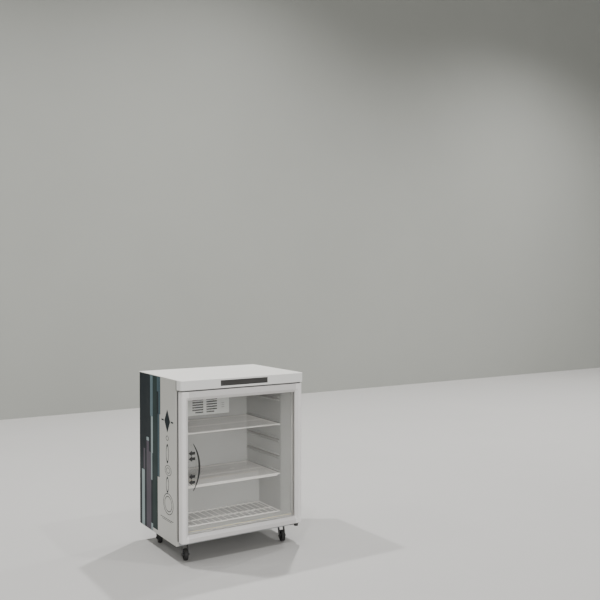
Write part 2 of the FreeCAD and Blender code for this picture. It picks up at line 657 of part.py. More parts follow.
def power_inlet():
    """Three-pin inlet in the rear cover; the lead itself is separate."""
    flange = box("inlet_flange", ("inlet_across - 18", "inlet_across + 18"), ("back_face - 3", "back_face - fit"),
                 ("body_bottom + 54", "body_bottom + 82"))
    block = box("inlet_block", ("inlet_across - 13.8", "inlet_across + 13.8"), ("back_face - 22", "back_face + sheet"),
                ("body_bottom + 58.2", "body_bottom + 77.8"))
    well = box("inlet_well", ("inlet_across - 11.8", "inlet_across + 11.8"), ("back_face - 16", "depth + 1"),
               ("body_bottom + 60.2", "body_bottom + 75.8"))
    pins = [box(f"inlet_pin_{number}", (f"inlet_across + {number} * 7 - 8", f"inlet_across + {number} * 7 - 6"),
                ("back_face - 18", "back_face - 3"), ("body_bottom + 66", "body_bottom + 70"))
            for number in range(3)]
    return fuse("power_inlet", [cut("inlet_shell", fuse("inlet_mass", [flange, block]), [well])] + pins)


# ---------------------------------------------------------------- hinges and screws

def hinges():
    """Two steel brackets on the body front, each with a pin into the door."""
    span = ("hinge_across - 18", "hinge_across + 15")
    leg = ("setback - hinge_plate - fit", "setback - fit")
    reach = ("hinge_depth - knuckle_radius", "setback - fit")
    arm = ("hinge_across - knuckle_radius", "hinge_across + knuckle_radius")
    axis = ("hinge_across", "hinge_depth")
    top_plate = ("door_top + 1", "door_top + 1 + hinge_plate")
    upper_leg = box("upper_leg", span, leg, (top_plate[0], "display_top"))
    upper_arm = box("upper_arm", span, reach, top_plate)
    upper_hole = rod("upper_pin_hole", "pin_radius", "10", (*axis, "door_top - 2"))
    holes = [screw_hole(f"bracket_hole_{number}", across, "setback - 8", height)
             for number, (across, height) in enumerate(hinge_screw_places())]
    upper = cut("upper_hinge_bracket", fuse("upper_plates", [upper_leg, upper_arm]),
                [upper_hole] + holes[:2])
    low_plate = ("door_bottom - 1.5 - hinge_plate", "door_bottom - 1.5")
    lower_leg = box("lower_leg", span, leg, ("body_bottom + 1", low_plate[1]))
    lower_arm = box("lower_arm", arm, reach, low_plate)
    knuckle = rod("lower_knuckle", "knuckle_radius", f"{low_plate[1]} - body_bottom - 3",
                  (*axis, "body_bottom + 3"))
    lower_hole = rod("lower_pin_hole", "pin_radius", "30", (*axis, "body_bottom"))
    lower = cut("lower_hinge_bracket", fuse("lower_plates", [lower_leg, lower_arm, knuckle]),
                [lower_hole] + holes[2:])
    pins = group("hinge_pins", [
        rod("upper_pin", "pin_radius", "bush_length + 1 + hinge_plate",
            (*axis, "door_top - bush_length + 0.5")),
        rod("lower_pin", "pin_radius", "door_bottom + bush_length - body_bottom - 4",
            (*axis, "body_bottom + 3.5")),
    ])
    return [upper, lower, pins]


def screw_hole(label, across, depth, height):
    """A clearance hole along Y for one of the small screws."""
    return rod(label, "screw_bore", "12", (across, depth, height), "y")


def hinge_screw_places():
    """Across and height of the screws: two in the upper bracket, then two in the lower."""
    return [("hinge_across - 10", "display_top - 8"), ("hinge_across + 8", "display_top - 8"),
            ("hinge_across - 14", "body_bottom + 8"), ("hinge_across + 8", "body_bottom + 8")]


def rear_screw_places():
    """Across and height of the screws: eight in the rear panel, then four in the cover below."""
    spots = []
    for across in ("-screw_across", "-96", "96", "screw_across"):
        spots.append((across, "compartment_top + 12"))
        spots.append((across, "body_top - 12"))
    for across in ("-screw_across", "screw_across"):
        spots.append((across, "body_bottom + 12"))
        spots.append((across, "compartment_top - 12"))
    return spots


def panel_screws():
    """The small pan-head screws of the hinge brackets and the rear covers."""
    screws = []
    for number, (across, height) in enumerate(hinge_screw_places()):
        seat = "setback - hinge_plate - fit"
        head = rod(f"hinge_screw_head_{number}", "screw_head", "head_height",
                   (across, f"{seat} - head_height", height), "y")
        shank = rod(f"hinge_screw_shank_{number}", "shank", "shank_length", (across, seat, height), "y")
        screws.append(fuse(f"hinge_screw_{number}", [head, shank]))
    for number, (across, height) in enumerate(rear_screw_places()):
        seat = "back_face + sheet"
        head = rod(f"rear_screw_head_{number}", "screw_head", "head_height", (across, seat, height), "y")
        shank = rod(f"rear_screw_shank_{number}", "shank", "shank_length",
                    (across, f"{seat} - shank_length", height), "y")
        screws.append(fuse(f"rear_screw_{number}", [head, shank]))
    return group("panel_screws", screws)


# ---------------------------------------------------------------- door

def frame_cutters():
    """The rebate that holds the glass, and the bevelled opening in front of it."""
    side = "door_half - stile"
    low = "door_bottom + bottom_rail"
    high = "door_top - top_rail"
    rebate = box("frame_rebate", (f"-({side}) - rebate", f"{side} + rebate"),
                 ("pane_face", "door_back + 1"), (f"{low} - rebate", f"{high} + rebate"))
    well = doc.addObject("Part::Wedge", "frame_bevel")
    for name, text in (("Xmin", f"-({side}) - bevel"), ("Xmax", f"{side} + bevel"),
                       ("X2min", f"-({side})"), ("X2max", side),
                       ("Ymin", "0"), ("Ymax", "bevel_depth"),
                       ("Zmin", f"{low} - bevel"), ("Z2min", low),
                       ("Zmax", f"{high} + bevel"), ("Z2max", high)):
        bind(well, name, text)
    place(well, "0", "0", "0")
    return [rebate, well]


def door_stiles(cutters):
    """Full-height uprights of the door frame, round on the outer edges."""
    bar = box("stile_bar", ("door_half - stile", "door_half"), ("0", "door_back"),
              ("door_bottom", "door_top"))
    raw = cut("stile_raw", bar, cutters)
    outer = size("door_half")
    soft = rounded("stile_soft", raw, "door_round",
                   lambda middle, edge: middle.x > outer - 1 and edge.BoundBox.ZLength > 500)
    ends = rounded("stile_ends", soft, "rail_round", outer_end_edge)
    bores = [rod(f"stile_bore_{name}", "bush_radius", "bush_length + 1",
                 ("hinge_across", "hinge_depth", low))
             for name, low in (("top", "door_top - bush_length"), ("bottom", "door_bottom - 1"))]
    return [mirrored("left_stile", ends), cut("right_stile", ends, bores)]


def outer_end_edge(middle, edge):
    """The front and outer edges of a stile's two end faces."""
    at_end = min(abs(middle.z - size("door_top")), abs(middle.z - size("door_bottom"))) < 0.1
    level = edge.BoundBox.ZLength < 0.1
    outward = middle.y < 8 or middle.x > size("door_half") - 5
    return at_end and level and outward and middle.y < 32


def door_rails(cutters):
    """Top and bottom members between the stiles."""
    span = ("-door_half + stile", "door_half - stile")
    rails = []
    for name, low, high, edge_height in (
            ("top_rail", "door_top - top_rail", "door_top", size("door_top")),
            ("bottom_rail", "door_bottom", "door_bottom + bottom_rail", size("door_bottom"))):
        bar = box(name + "_bar", span, ("0", "door_back"), (low, high))
        raw = cut(name + "_raw", bar, cutters)
        rails.append(rounded(name, raw, "rail_round",
                             lambda middle, edge, level=edge_height: abs(middle.z - level) < 0.1
                             and middle.y < 1 and edge.BoundBox.XLength > 100))
    return rails


def glazing():
    """Two panes held apart by a spacer, and the beads that hold them from behind."""
    half = "door_half - stile + rebate - 0.5"
    low = "door_bottom + bottom_rail - rebate + 0.5"
    high = "door_top - top_rail + rebate - 0.5"
    front = box("front_pane", (f"-({half})", half), ("pane_face", "pane_face + pane"), (low, high))
    gap_from = "pane_face + pane"
    rear = box("rear_pane", (f"-({half})", half),
               (f"{gap_from} + air_gap", f"{gap_from} + air_gap + pane"), (low, high))
    outer = box("spacer_block", (f"-({half})", half), (gap_from, f"{gap_from} + air_gap"), (low, high))
    inner = box("spacer_space", (f"-({half}) + spacer_edge", f"{half} - spacer_edge"),
                (f"{gap_from} - 1", f"{gap_from} + air_gap + 1"),
                (f"{low} + spacer_edge", f"{high} - spacer_edge"))
    spacer = cut("glazing_spacer", outer, [inner])
    bead_depth = (f"{gap_from} + air_gap + pane", "door_back")
    side = "door_half - stile"
    bottom = "door_bottom + bottom_rail"
    top = "door_top - top_rail"
    beads = [
        box("bead_right", (side, f"{side} + rebate"), bead_depth, (f"{bottom} - rebate", f"{top} + rebate")),
        box("bead_left", (f"-({side}) - rebate", f"-({side})"), bead_depth,
            (f"{bottom} - rebate", f"{top} + rebate")),
        box("bead_top", (f"-({side})", side), bead_depth, (top, f"{top} + rebate")),
        box("bead_bottom", (f"-({side})", side), bead_depth, (f"{bottom} - rebate", bottom)),
    ]
    return [front, rear, spacer, group("glazing_beads", beads)]


def door_gasket():
    """Soft magnetic seal on the back of the door."""
    edge = "seal_edge"
    low = "door_bottom + door_half - seal_edge"
    high = "door_top - door_half + seal_edge"
    depth = ("door_back", "seal_back")
    ring = box("seal_ring", (f"-{edge}", edge), depth, (low, high))
    inside = box("seal_inside", (f"-{edge} + seal_width", f"{edge} - seal_width"),
                 ("door_back - 1", "seal_back + 1"), (f"{low} + seal_width", f"{high} - seal_width"))
    return cut("door_gasket", ring, [inside])


def door_bushes():
    """Plastic bushes for the pins, pressed into the right stile."""
    bushes = []
    for name, low, flange in (("top", "door_top - bush_length", "door_top"),
                              ("bottom", "door_bottom", "door_bottom - 1.4")):
        at = ("hinge_across", "hinge_depth")
        sleeve = rod(f"bush_sleeve_{name}", "bush_radius", "bush_length", (*at, low))
        parts = [sleeve]
        if name == "bottom":
            parts.append(rod("bush_flange", "bush_radius + 3", "1.4", (*at, flange)))
        whole = fuse(f"bush_mass_{name}", parts) if len(parts) > 1 else sleeve
        bore = rod(f"bush_bore_{name}", "bush_bore", "40", (*at, f"{low} - 10"))
        bushes.append(cut(f"bush_{name}", whole, [bore]))
    return group("door_bushes", bushes)


# ---------------------------------------------------------------- shelves

def wire_rack(label, half, front, back, height, pitch, lip, cross_depths):
    """Wires from front to back, welded under a rim of thicker rod."""
    radius = size("rod")
    thin = size("wire")
    weld = 0.4
    parts = []
    for depth in [front, back] + cross_depths:
        parts.append(Part.makeCylinder(radius, 2 * (half + radius), row(-half - radius, depth, height),
                                       Vector(1, 0, 0)))
    for side in (-half, half):
        parts.append(Part.makeCylinder(radius - 0.2, back - front, row(side, front, height),
                                       Vector(0, 1, 0)))
    if lip:
        inset = half - 12
        parts.append(Part.makeCylinder(radius, 2 * inset, row(-inset, front, height - lip),
                                       Vector(1, 0, 0)))
        for side in (-inset + 5, inset - 5):
            parts.append(Part.makeCylinder(thin, lip, row(side, front, height - lip)))
    top = height + radius + thin - weld
    count = int(2 * half / pitch)
    first = -pitch * (count - 1) / 2
    for number in range(count):
        across = first + number * pitch
        parts.append(Part.makeCylinder(thin, back - front + 2, row(across, front - 1, top),
                                       Vector(0, 1, 0)))
    return own_shape(label, parts[0].fuse(parts[1:]))


def shelves():
    half = size("shelf_half")
    front = size("shelf_front")
    back = size("shelf_back")
    middle = [(front + back) / 2]
    low = wire_rack("lower_shelf", half, front, back, size("shelf_low"), size("wire_pitch"),
                    size("lip_drop"), middle)
    high = wire_rack("upper_shelf", half, front, back, size("shelf_high"), size("wire_pitch"),
                     0, middle)
    floor = size("cavity_floor") + size("rod") + size("fit")
    grille = wire_rack("floor_grille", size("grille_half"), size("throat_end") + 3,
                       size("grille_back"), floor, size("grille_wire_pitch"), 0, [178])
    return [low, high, grille]


# ---------------------------------------------------------------- castors

CORNERS = (("front_left", -1, "castor_front"), ("front_right", 1, "castor_front"),
           ("rear_left", -1, "castor_rear"), ("rear_right", 1, "castor_rear"))


def bolt_places(corners=CORNERS):
    """Across and depth of the four bolts at each corner."""
    spots = []
    for corner, side, depth in corners:
        for along in ("-", "+"):
            for wide in ("-", "+"):
                spots.append((f"{side} * castor_across {wide} bolt_wide", f"{depth} {along} bolt_long"))
    return spots


def castor_plates():
    """Top plates with riveted kingpins, and the bolts that hold them under the base pan."""
    plates = []
    for corner, side, depth in CORNERS:
        across = f"{side} * castor_across"
        plate = box(f"plate_{corner}", (f"{across} - plate_half_wide", f"{across} + plate_half_wide"),
                    (f"{depth} - plate_half_long", f"{depth} + plate_half_long"),
                    ("plate_bottom", "body_bottom"))
        holes = [rod(f"plate_hole_{corner}_{number}", "bolt_bore", "6", (*at, "plate_bottom - 1"))
                 for number, at in enumerate(bolt_places([(corner, side, depth)]))]
        pin = rod(f"kingpin_{corner}", "kingpin", "plate_bottom - crown_bottom + 1.8",
                  (across, depth, "crown_bottom - 1.7"))
        rivet = rod(f"kingpin_head_{corner}", "kingpin + 2", "1.6",
                    (across, depth, "crown_bottom - 1.7"))
        race = rod(f"race_{corner}", "crown_radius - 5", "plate_bottom - crown_bottom - crown - fit",
                   (across, depth, "crown_bottom + crown + fit"))
        plates.append(fuse(f"castor_top_{corner}", [cut(f"plate_cut_{corner}", plate, holes),
                                                    pin, rivet, race]))
    bolts = []
    for number, at in enumerate(bolt_places()):
        head = rod(f"bolt_head_{number}", "bolt_head", "bolt_head_height",
                   (*at, "plate_bottom - bolt_head_height"))
        shank = rod(f"bolt_shank_{number}", "bolt", "pan_top - plate_bottom + 1",
                    (*at, "plate_bottom - 1"))
        bolts.append(fuse(f"bolt_{number}", [head, shank]))
    return [group("castor_plates", plates), group("castor_bolts", bolts)]


def fork_cheek(side):
    """One side plate of a fork, in the castor's own frame: trail along -Y, axle along X."""
    offset = side * size("fork_gap") / 2 + (0 if side > 0 else -size("fork_sheet"))
    top = size("crown_bottom") + size("crown")
    axle = size("wheel_radius")
    trail = size("trail")
    outline = [Vector(offset, -13, top), Vector(offset, 11, top), Vector(offset, -trail + 8, axle - 2)]
    lower = Vector(offset, -trail, axle - 8)
    nose = Vector(offset, -trail - 8, axle - 2)
    edges = [Part.LineSegment(outline[0], outline[1]).toShape(),
             Part.LineSegment(outline[1], outline[2]).toShape(),
             Part.Arc(outline[2], lower, nose).toShape(),
             Part.LineSegment(nose, outline[0]).toShape()]
    return Part.Face(Part.Wire(edges)).extrude(Vector(size("fork_sheet"), 0, 0))


def castor_fork(corner, side, depth):
    """Crown, two cheeks and nothing between them but the wheel."""
    crown = Part.makeCylinder(size("crown_radius"), size("crown"), Vector(0, 0, size("crown_bottom")))
    reach = size("fork_gap") / 2 + size("fork_sheet")
    bridge = Part.makeBox(2 * reach, 24, size("crown"), Vector(-reach, -13, size("crown_bottom")))
    solid = crown.fuse([bridge, fork_cheek(-1), fork_cheek(1)])
    bore = Part.makeCylinder(size("kingpin_bore"), 20, Vector(0, 0, size("crown_bottom") - 5))
    pivot = Part.makeCylinder(size("axle"), 80, Vector(-40, -size("trail"), size("wheel_radius")),
                              Vector(1, 0, 0))
    item = own_shape(f"castor_fork_{corner}", solid.cut([bore, pivot]).removeSplitter())
    return castor_place(item, side, depth)


def castor_place(item, side, depth):
    """Stand a castor piece under its corner, turned by the trail angle."""
    turn = FreeCAD.Rotation(Vector(0, 0, 1), -size("trail_angle"))
    item.Placement = FreeCAD.Placement(row(side * size("castor_across"), size(depth), 0), turn)
    return item


def castor_axle(corner, side, depth):
    """Bolt through the fork with a head and a nut."""
    reach = size("fork_gap") / 2 + size("fork_sheet")
    low = Vector(-reach - 3, -size("trail"), size("wheel_radius"))
    shank = Part.makeCylinder(size("axle"), 2 * reach + 6, low, Vector(1, 0, 0))
    head = Part.makeCylinder(5, 3, low, Vector(1, 0, 0))
    nut = Part.makeCylinder(5, 3, Vector(reach, low.y, low.z), Vector(1, 0, 0))
    item = own_shape(f"castor_axle_{corner}", shank.fuse([head, nut]))
    return castor_place(item, side, depth)


def castor_wheel(corner, side, depth):
    """Wheel with a rounded tread, a recessed web and a bored hub, turned from one profile."""
    outer = size("wheel_radius")
    half = size("wheel_width") / 2
    hub = size("hub_width") / 2
    bore = size("axle_bore")
    soft = 4
    web = 3.5
    knee = soft * (1 - math.sqrt(0.5))
    rim = outer - 8

    def at(along, radius):
        return Vector(along, -size("trail"), outer + radius)

    left = [at(-hub, bore), at(-hub, 8), at(-web, 8), at(-web, rim), at(-half, rim),
            at(-half, outer - soft)]
    right = [Vector(-point.x, point.y, point.z) for point in reversed(left)]
    edges = [Part.LineSegment(a, b).toShape() for a, b in zip(left, left[1:])]
    edges.append(Part.Arc(left[-1], at(-half + knee, outer - knee), at(-half + soft, outer)).toShape())
    edges.append(Part.LineSegment(at(-half + soft, outer), at(half - soft, outer)).toShape())
    edges.append(Part.Arc(at(half - soft, outer), at(half - knee, outer - knee), right[0]).toShape())
    edges += [Part.LineSegment(a, b).toShape() for a, b in zip(right, right[1:])]
    edges.append(Part.LineSegment(right[-1], left[0]).toShape())
    solid = Part.Face(Part.Wire(edges)).revolve(at(0, 0), Vector(1, 0, 0), 360)
    item = own_shape(f"castor_wheel_{corner}", solid)
    return castor_place(item, side, depth)


# ---------------------------------------------------------------- assembly

def build():
    inside = cavity("cavity_inside", "0")
    outside = cavity("cavity_outside", "liner")
    pieces = side_panels()
    pieces += [base_pan(), rear_panel(), compartment_cover(), top_cover(), front_fascia()]
    pieces += display()
    pieces += [inner_liner(inside, outside), insulation_foam(outside), compartment_bulkhead()]
    pieces += [fan_cover(), fan_frame(), fan_rotor(), evaporator_plate()]
    pieces += lamp() + compressor() + [condenser_coil()] + refrigerant_pipes() + drain()
    pieces += [power_inlet()] + hinges()
    cutters = frame_cutters()
    pieces += door_stiles(cutters) + door_rails(cutters) + glazing() + [door_gasket(), door_bushes()]
    pieces += shelves() + castor_plates()
    for corner, side, depth in CORNERS:
        pieces += [castor_fork(corner, side, depth), castor_axle(corner, side, depth),
                   castor_wheel(corner, side, depth)]
    pieces.append(panel_screws())
    return pieces


def check_and_write(pieces):
    doc.recompute()
    for item in doc.Objects:
        if "Invalid" in item.State or "Error" in item.State:
            raise RuntimeError(f"{item.Label} did not compute: {item.State}")
    os.makedirs("parts", exist_ok=True)
    for piece in pieces:
        shape = piece.Shape
        if shape.isNull() or not shape.isValid() or not shape.Solids:
            raise RuntimeError(f"{piece.Label} has no valid solid")
    for piece in pieces:
        piece.Shape.exportStep(f"parts/{piece.Label}.step")
    print(len(pieces), "pieces written")


check_and_write(build())
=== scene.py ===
"""Looks of the small glass-door cabinet on castors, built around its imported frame.

Everything is in metres in the cabinet's own frame: +X right, +Y back, +Z up, floor at zero.
"""
import json
import math

import bpy
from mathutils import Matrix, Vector


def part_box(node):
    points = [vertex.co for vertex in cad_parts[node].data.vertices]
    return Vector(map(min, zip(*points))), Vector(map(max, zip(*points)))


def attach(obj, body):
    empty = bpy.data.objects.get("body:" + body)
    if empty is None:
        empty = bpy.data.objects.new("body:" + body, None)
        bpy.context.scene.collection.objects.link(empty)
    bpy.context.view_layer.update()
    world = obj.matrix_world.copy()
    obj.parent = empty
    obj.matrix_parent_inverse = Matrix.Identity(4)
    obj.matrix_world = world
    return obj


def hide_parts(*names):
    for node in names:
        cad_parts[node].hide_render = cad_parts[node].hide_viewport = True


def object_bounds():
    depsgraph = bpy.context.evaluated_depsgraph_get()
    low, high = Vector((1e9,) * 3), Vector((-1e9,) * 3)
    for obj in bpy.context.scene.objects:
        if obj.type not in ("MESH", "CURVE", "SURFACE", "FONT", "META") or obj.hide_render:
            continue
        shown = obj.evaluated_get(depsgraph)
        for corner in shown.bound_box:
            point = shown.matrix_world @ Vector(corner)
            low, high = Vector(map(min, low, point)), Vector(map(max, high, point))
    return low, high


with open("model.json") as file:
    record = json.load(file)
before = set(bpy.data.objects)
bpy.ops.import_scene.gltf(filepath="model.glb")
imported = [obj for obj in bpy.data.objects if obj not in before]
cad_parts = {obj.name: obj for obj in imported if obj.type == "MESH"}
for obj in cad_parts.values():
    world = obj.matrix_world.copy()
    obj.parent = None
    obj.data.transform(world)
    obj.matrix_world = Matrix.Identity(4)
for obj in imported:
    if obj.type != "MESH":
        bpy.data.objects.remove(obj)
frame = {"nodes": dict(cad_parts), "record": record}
cad_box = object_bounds()
record = frame["record"]
CORNERS = ("front_left", "front_right", "rear_left", "rear_right")

# ---------------------------------------------------------------- places and sizes

SIDE = cad_box[1].x                     # outer face of the right side panel
FRONT = cad_box[0].y                    # front plane of the door and the fascia
BODY_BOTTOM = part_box("left_side_panel")[0].z
BODY_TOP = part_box("left_side_panel")[1].z


def behind(distance):
    """Row y of a place this far behind the front plane."""
    return FRONT + distance


# ---------------------------------------------------------------- making tools

def only(*pieces):
    """Leave just these pieces selected, the first one active."""
    bpy.ops.object.select_all(action="DESELECT")
    for piece in pieces:
        piece.select_set(True)
    bpy.context.view_layer.objects.active = pieces[0]


def named(name):
    """Name the primitive that was just added and bake its place into its mesh."""
    piece = bpy.context.object
    piece.name = name
    piece.data.name = name
    bpy.ops.object.transform_apply(location=True, rotation=True, scale=True)
    return piece


def block(name, low, high):
    """A block between two corners, as a start."""
    low, high = Vector(low), Vector(high)
    bpy.ops.object.select_all(action="DESELECT")
    bpy.ops.mesh.primitive_cube_add(size=1, location=(low + high) / 2, scale=high - low)
    return named(name)


def disc(name, centre, radius, thickness, turn=(0, 0, 0), sides=48):
    """A short cylinder as a start, its axis along Z before the turn."""
    bpy.ops.object.select_all(action="DESELECT")
    bpy.ops.mesh.primitive_cylinder_add(vertices=sides, radius=radius, depth=thickness,
                                        location=centre, rotation=turn)
    return named(name)


def apply(piece, kind, **values):
    """Add one modifier and apply it."""
    only(piece)
    modifier = piece.modifiers.new(kind.lower(), kind)
    for key, value in values.items():
        setattr(modifier, key, value)
    bpy.ops.object.modifier_apply(modifier=modifier.name)
    return piece


def rounded(piece, width, segments=3, angle=30):
    """Round the sharp edges and shade the result smoothly."""
    apply(piece, "BEVEL", width=width, segments=segments, limit_method="ANGLE",
          angle_limit=math.radians(angle), harden_normals=False)
    return smoothed(piece)


def smoothed(piece, angle=35):
    only(piece)
    bpy.ops.object.shade_smooth_by_angle(angle=math.radians(angle))
    return piece


def joined(name, parts):
    """One piece out of several."""
    only(*parts)
    bpy.ops.object.join()
    piece = bpy.context.object
    piece.name = name
    piece.data.name = name
    return piece


def pick(piece, test, kind="FACE"):
    """Enter edit mode with only the faces, edges or vertices that pass the test selected."""
    only(piece)
    bpy.ops.object.mode_set(mode="EDIT")
    bpy.ops.mesh.select_mode(type=kind)
    bpy.ops.mesh.select_all(action="DESELECT")
    bpy.ops.object.mode_set(mode="OBJECT")
    mesh = piece.data
    items = {"FACE": mesh.polygons, "EDGE": mesh.edges, "VERT": mesh.vertices}[kind]
    for item in items:
        item.select = test(item)
    bpy.ops.object.mode_set(mode="EDIT")


def done():
    bpy.ops.object.mode_set(mode="OBJECT")


def cleaned(piece, merge=1e-5):
    """Merge doubled points and turn the faces outwards."""
    pick(piece, lambda item: True, "VERT")
    bpy.ops.mesh.remove_doubles(threshold=merge)
    bpy.ops.mesh.normals_make_consistent(inside=False)
    done()
    return piece


def copies(piece, name, shifts):
    """The piece at each shift from where it stands, as one piece."""
    parts = []
    for number, shift in enumerate(shifts):
        copy = piece.copy()
        copy.data = piece.data.copy()
        copy.name = f"{name}_{number}"
        bpy.context.collection.objects.link(copy)
        for vertex in copy.data.vertices:
            vertex.co += Vector(shift)
        parts.append(copy)
    bpy.data.objects.remove(piece)
    return joined(name, parts)


def other_side(piece, name):
    """A mirrored copy across the middle of the cabinet, faces outwards."""
    copy = piece.copy()
    copy.data = piece.data.copy()
    copy.name = name
    bpy.context.collection.objects.link(copy)
    for vertex in copy.data.vertices:
        vertex.co.x = -vertex.co.x
    pick(copy, lambda item: True)
    bpy.ops.mesh.flip_normals()
    done()
    return copy


def fitted(piece, body, slot, material, *nodes):
    """Give a piece its body and finish, and the nodes that it stands for; the slot is not used.
    """
    piece.data.materials.clear()
    piece.data.materials.append(material)
    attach(piece, body)
    if nodes:
        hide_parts(*nodes)
    return piece


BODY_OF = {node: body for body, nodes in record["behaviour"]["bodies"].items() for node in nodes}
SLOT_OF = {item["node"]: item["material_slot"] for item in record["subparts"]}


def eased(node, width, material, angle=30):
    """A copy of a CAD node with its sharp edges eased; it stands for the node."""
    piece = bpy.data.objects.new(node + "_eased", frame["nodes"][node].data.copy())
    bpy.context.collection.objects.link(piece)
    pick(piece, lambda item: True, "VERT")
    bpy.ops.mesh.remove_doubles(threshold=2e-6)
    bpy.ops.mesh.dissolve_limited(angle_limit=math.radians(0.4))
    done()
    rounded(piece, width, 2, angle)
    apply(piece, "WEIGHTED_NORMAL", mode="FACE_AREA", weight=100, keep_sharp=True)
    return fitted(piece, BODY_OF[node], SLOT_OF[node], material, node)


# ---------------------------------------------------------------- shared shader groups

MID_GREY = (0.5, 0.5, 0.5, 1)
DUST_TINT = (0.5, 0.48, 0.44, 1)
ALONG_GRAIN = 6                         # noise waves to the metre, along the rolling
ACROSS_GRAIN = 500                      # and across it


def shader_group(name, sockets_in, sockets_out):
    """A node group with named inputs (name, type, value) and outputs (name, type)."""
    group = bpy.data.node_groups.new(name, "ShaderNodeTree")
    for label, kind, value in sockets_in:
        socket = group.interface.new_socket(name=label, in_out="INPUT", socket_type=kind)
        socket.default_value = value
    for label, kind in sockets_out:
        group.interface.new_socket(name=label, in_out="OUTPUT", socket_type=kind)
    return group, group.nodes.new("NodeGroupInput"), group.nodes.new("NodeGroupOutput")


def add_node(tree, kind, **values):
    """A new node with its constants set, on its sockets or as its properties."""
    item = tree.nodes.new(kind)
    for key, value in values.items():
        if key in item.inputs:
            item.inputs[key].default_value = value
        else:
            setattr(item, key, value)
    return item


def drift_group():
    """Slow uneven tone over a surface, and the same unevenness for its roughness."""
    group, given, out = shader_group(
        "tone_drift",
        [("Colour", "NodeSocketColor", MID_GREY), ("Second", "NodeSocketColor", MID_GREY),
         ("Scale", "NodeSocketFloat", 4.0), ("Rough Low", "NodeSocketFloat", 0.3),
         ("Rough High", "NodeSocketFloat", 0.4)],
        [("Colour", "NodeSocketColor"), ("Roughness", "NodeSocketFloat")])
    place = add_node(group, "ShaderNodeTexCoord")
    noise = add_node(group, "ShaderNodeTexNoise", Detail=5.0, Roughness=0.6)
    spread = add_node(group, "ShaderNodeMapRange")
    spread.inputs["From Min"].default_value = 0.3
    spread.inputs["From Max"].default_value = 0.7
    blend = add_node(group, "ShaderNodeMix", data_type="RGBA")
    rough = add_node(group, "ShaderNodeMapRange")
    link = group.links.new
    link(place.outputs["Object"], noise.inputs["Vector"])
    link(given.outputs["Scale"], noise.inputs["Scale"])
    link(noise.outputs["Fac"], spread.inputs["Value"])
    link(spread.outputs["Result"], blend.inputs["Factor"])
    link(given.outputs["Colour"], blend.inputs["A"])
    link(given.outputs["Second"], blend.inputs["B"])
    link(spread.outputs["Result"], rough.inputs["Value"])
    link(given.outputs["Rough Low"], rough.inputs["To Min"])
    link(given.outputs["Rough High"], rough.inputs["To Max"])
    link(blend.outputs["Result"], out.inputs["Colour"])
    link(rough.outputs["Result"], out.inputs["Roughness"])
    return group


def texture_group():
    """Fine relief: orange peel on paint, or a moulded texture on plastic."""
    group, given, out = shader_group(
        "fine_relief",
        [("Scale", "NodeSocketFloat", 900.0), ("Height", "NodeSocketFloat", 0.00003)],
        [("Normal", "NodeSocketVector")])
    place = add_node(group, "ShaderNodeTexCoord")
    noise = add_node(group, "ShaderNodeTexNoise", Detail=2.0, Roughness=0.5)
    bump = add_node(group, "ShaderNodeBump", Strength=1.0)
    link = group.links.new
    link(place.outputs["Object"], noise.inputs["Vector"])
    link(given.outputs["Scale"], noise.inputs["Scale"])
    link(noise.outputs["Fac"], bump.inputs["Height"])
    link(given.outputs["Height"], bump.inputs["Distance"])
    link(bump.outputs["Normal"], out.inputs["Normal"])
    return group


def grain_group():
    """Rolling grain of sheet metal: noise drawn out along X."""
    group, given, out = shader_group(
        "rolled_grain",
        [("Colour", "NodeSocketColor", MID_GREY), ("Second", "NodeSocketColor", MID_GREY),
         ("Rough Low", "NodeSocketFloat", 0.3), ("Rough High", "NodeSocketFloat", 0.45),
         ("Height", "NodeSocketFloat", 0.00001)],
        [("Colour", "NodeSocketColor"), ("Roughness", "NodeSocketFloat"),
         ("Normal", "NodeSocketVector")])
    place = add_node(group, "ShaderNodeTexCoord")
    stretch = add_node(group, "ShaderNodeMapping")
    stretch.inputs["Scale"].default_value = (ALONG_GRAIN, ACROSS_GRAIN, ACROSS_GRAIN)
    noise = add_node(group, "ShaderNodeTexNoise", Scale=1.0, Detail=3.0, Roughness=0.7)
    blend = add_node(group, "ShaderNodeMix", data_type="RGBA")
    rough = add_node(group, "ShaderNodeMapRange")
    bump = add_node(group, "ShaderNodeBump", Strength=1.0)
    link = group.links.new
    link(place.outputs["Object"], stretch.inputs["Vector"])
    link(stretch.outputs["Vector"], noise.inputs["Vector"])
    link(noise.outputs["Fac"], blend.inputs["Factor"])
    link(given.outputs["Colour"], blend.inputs["A"])
    link(given.outputs["Second"], blend.inputs["B"])
    link(noise.outputs["Fac"], rough.inputs["Value"])
    link(given.outputs["Rough Low"], rough.inputs["To Min"])
    link(given.outputs["Rough High"], rough.inputs["To Max"])
    link(noise.outputs["Fac"], bump.inputs["Height"])
    link(given.outputs["Height"], bump.inputs["Distance"])
    link(blend.outputs["Result"], out.inputs["Colour"])
    link(rough.outputs["Result"], out.inputs["Roughness"])
    link(bump.outputs["Normal"], out.inputs["Normal"])
    return group


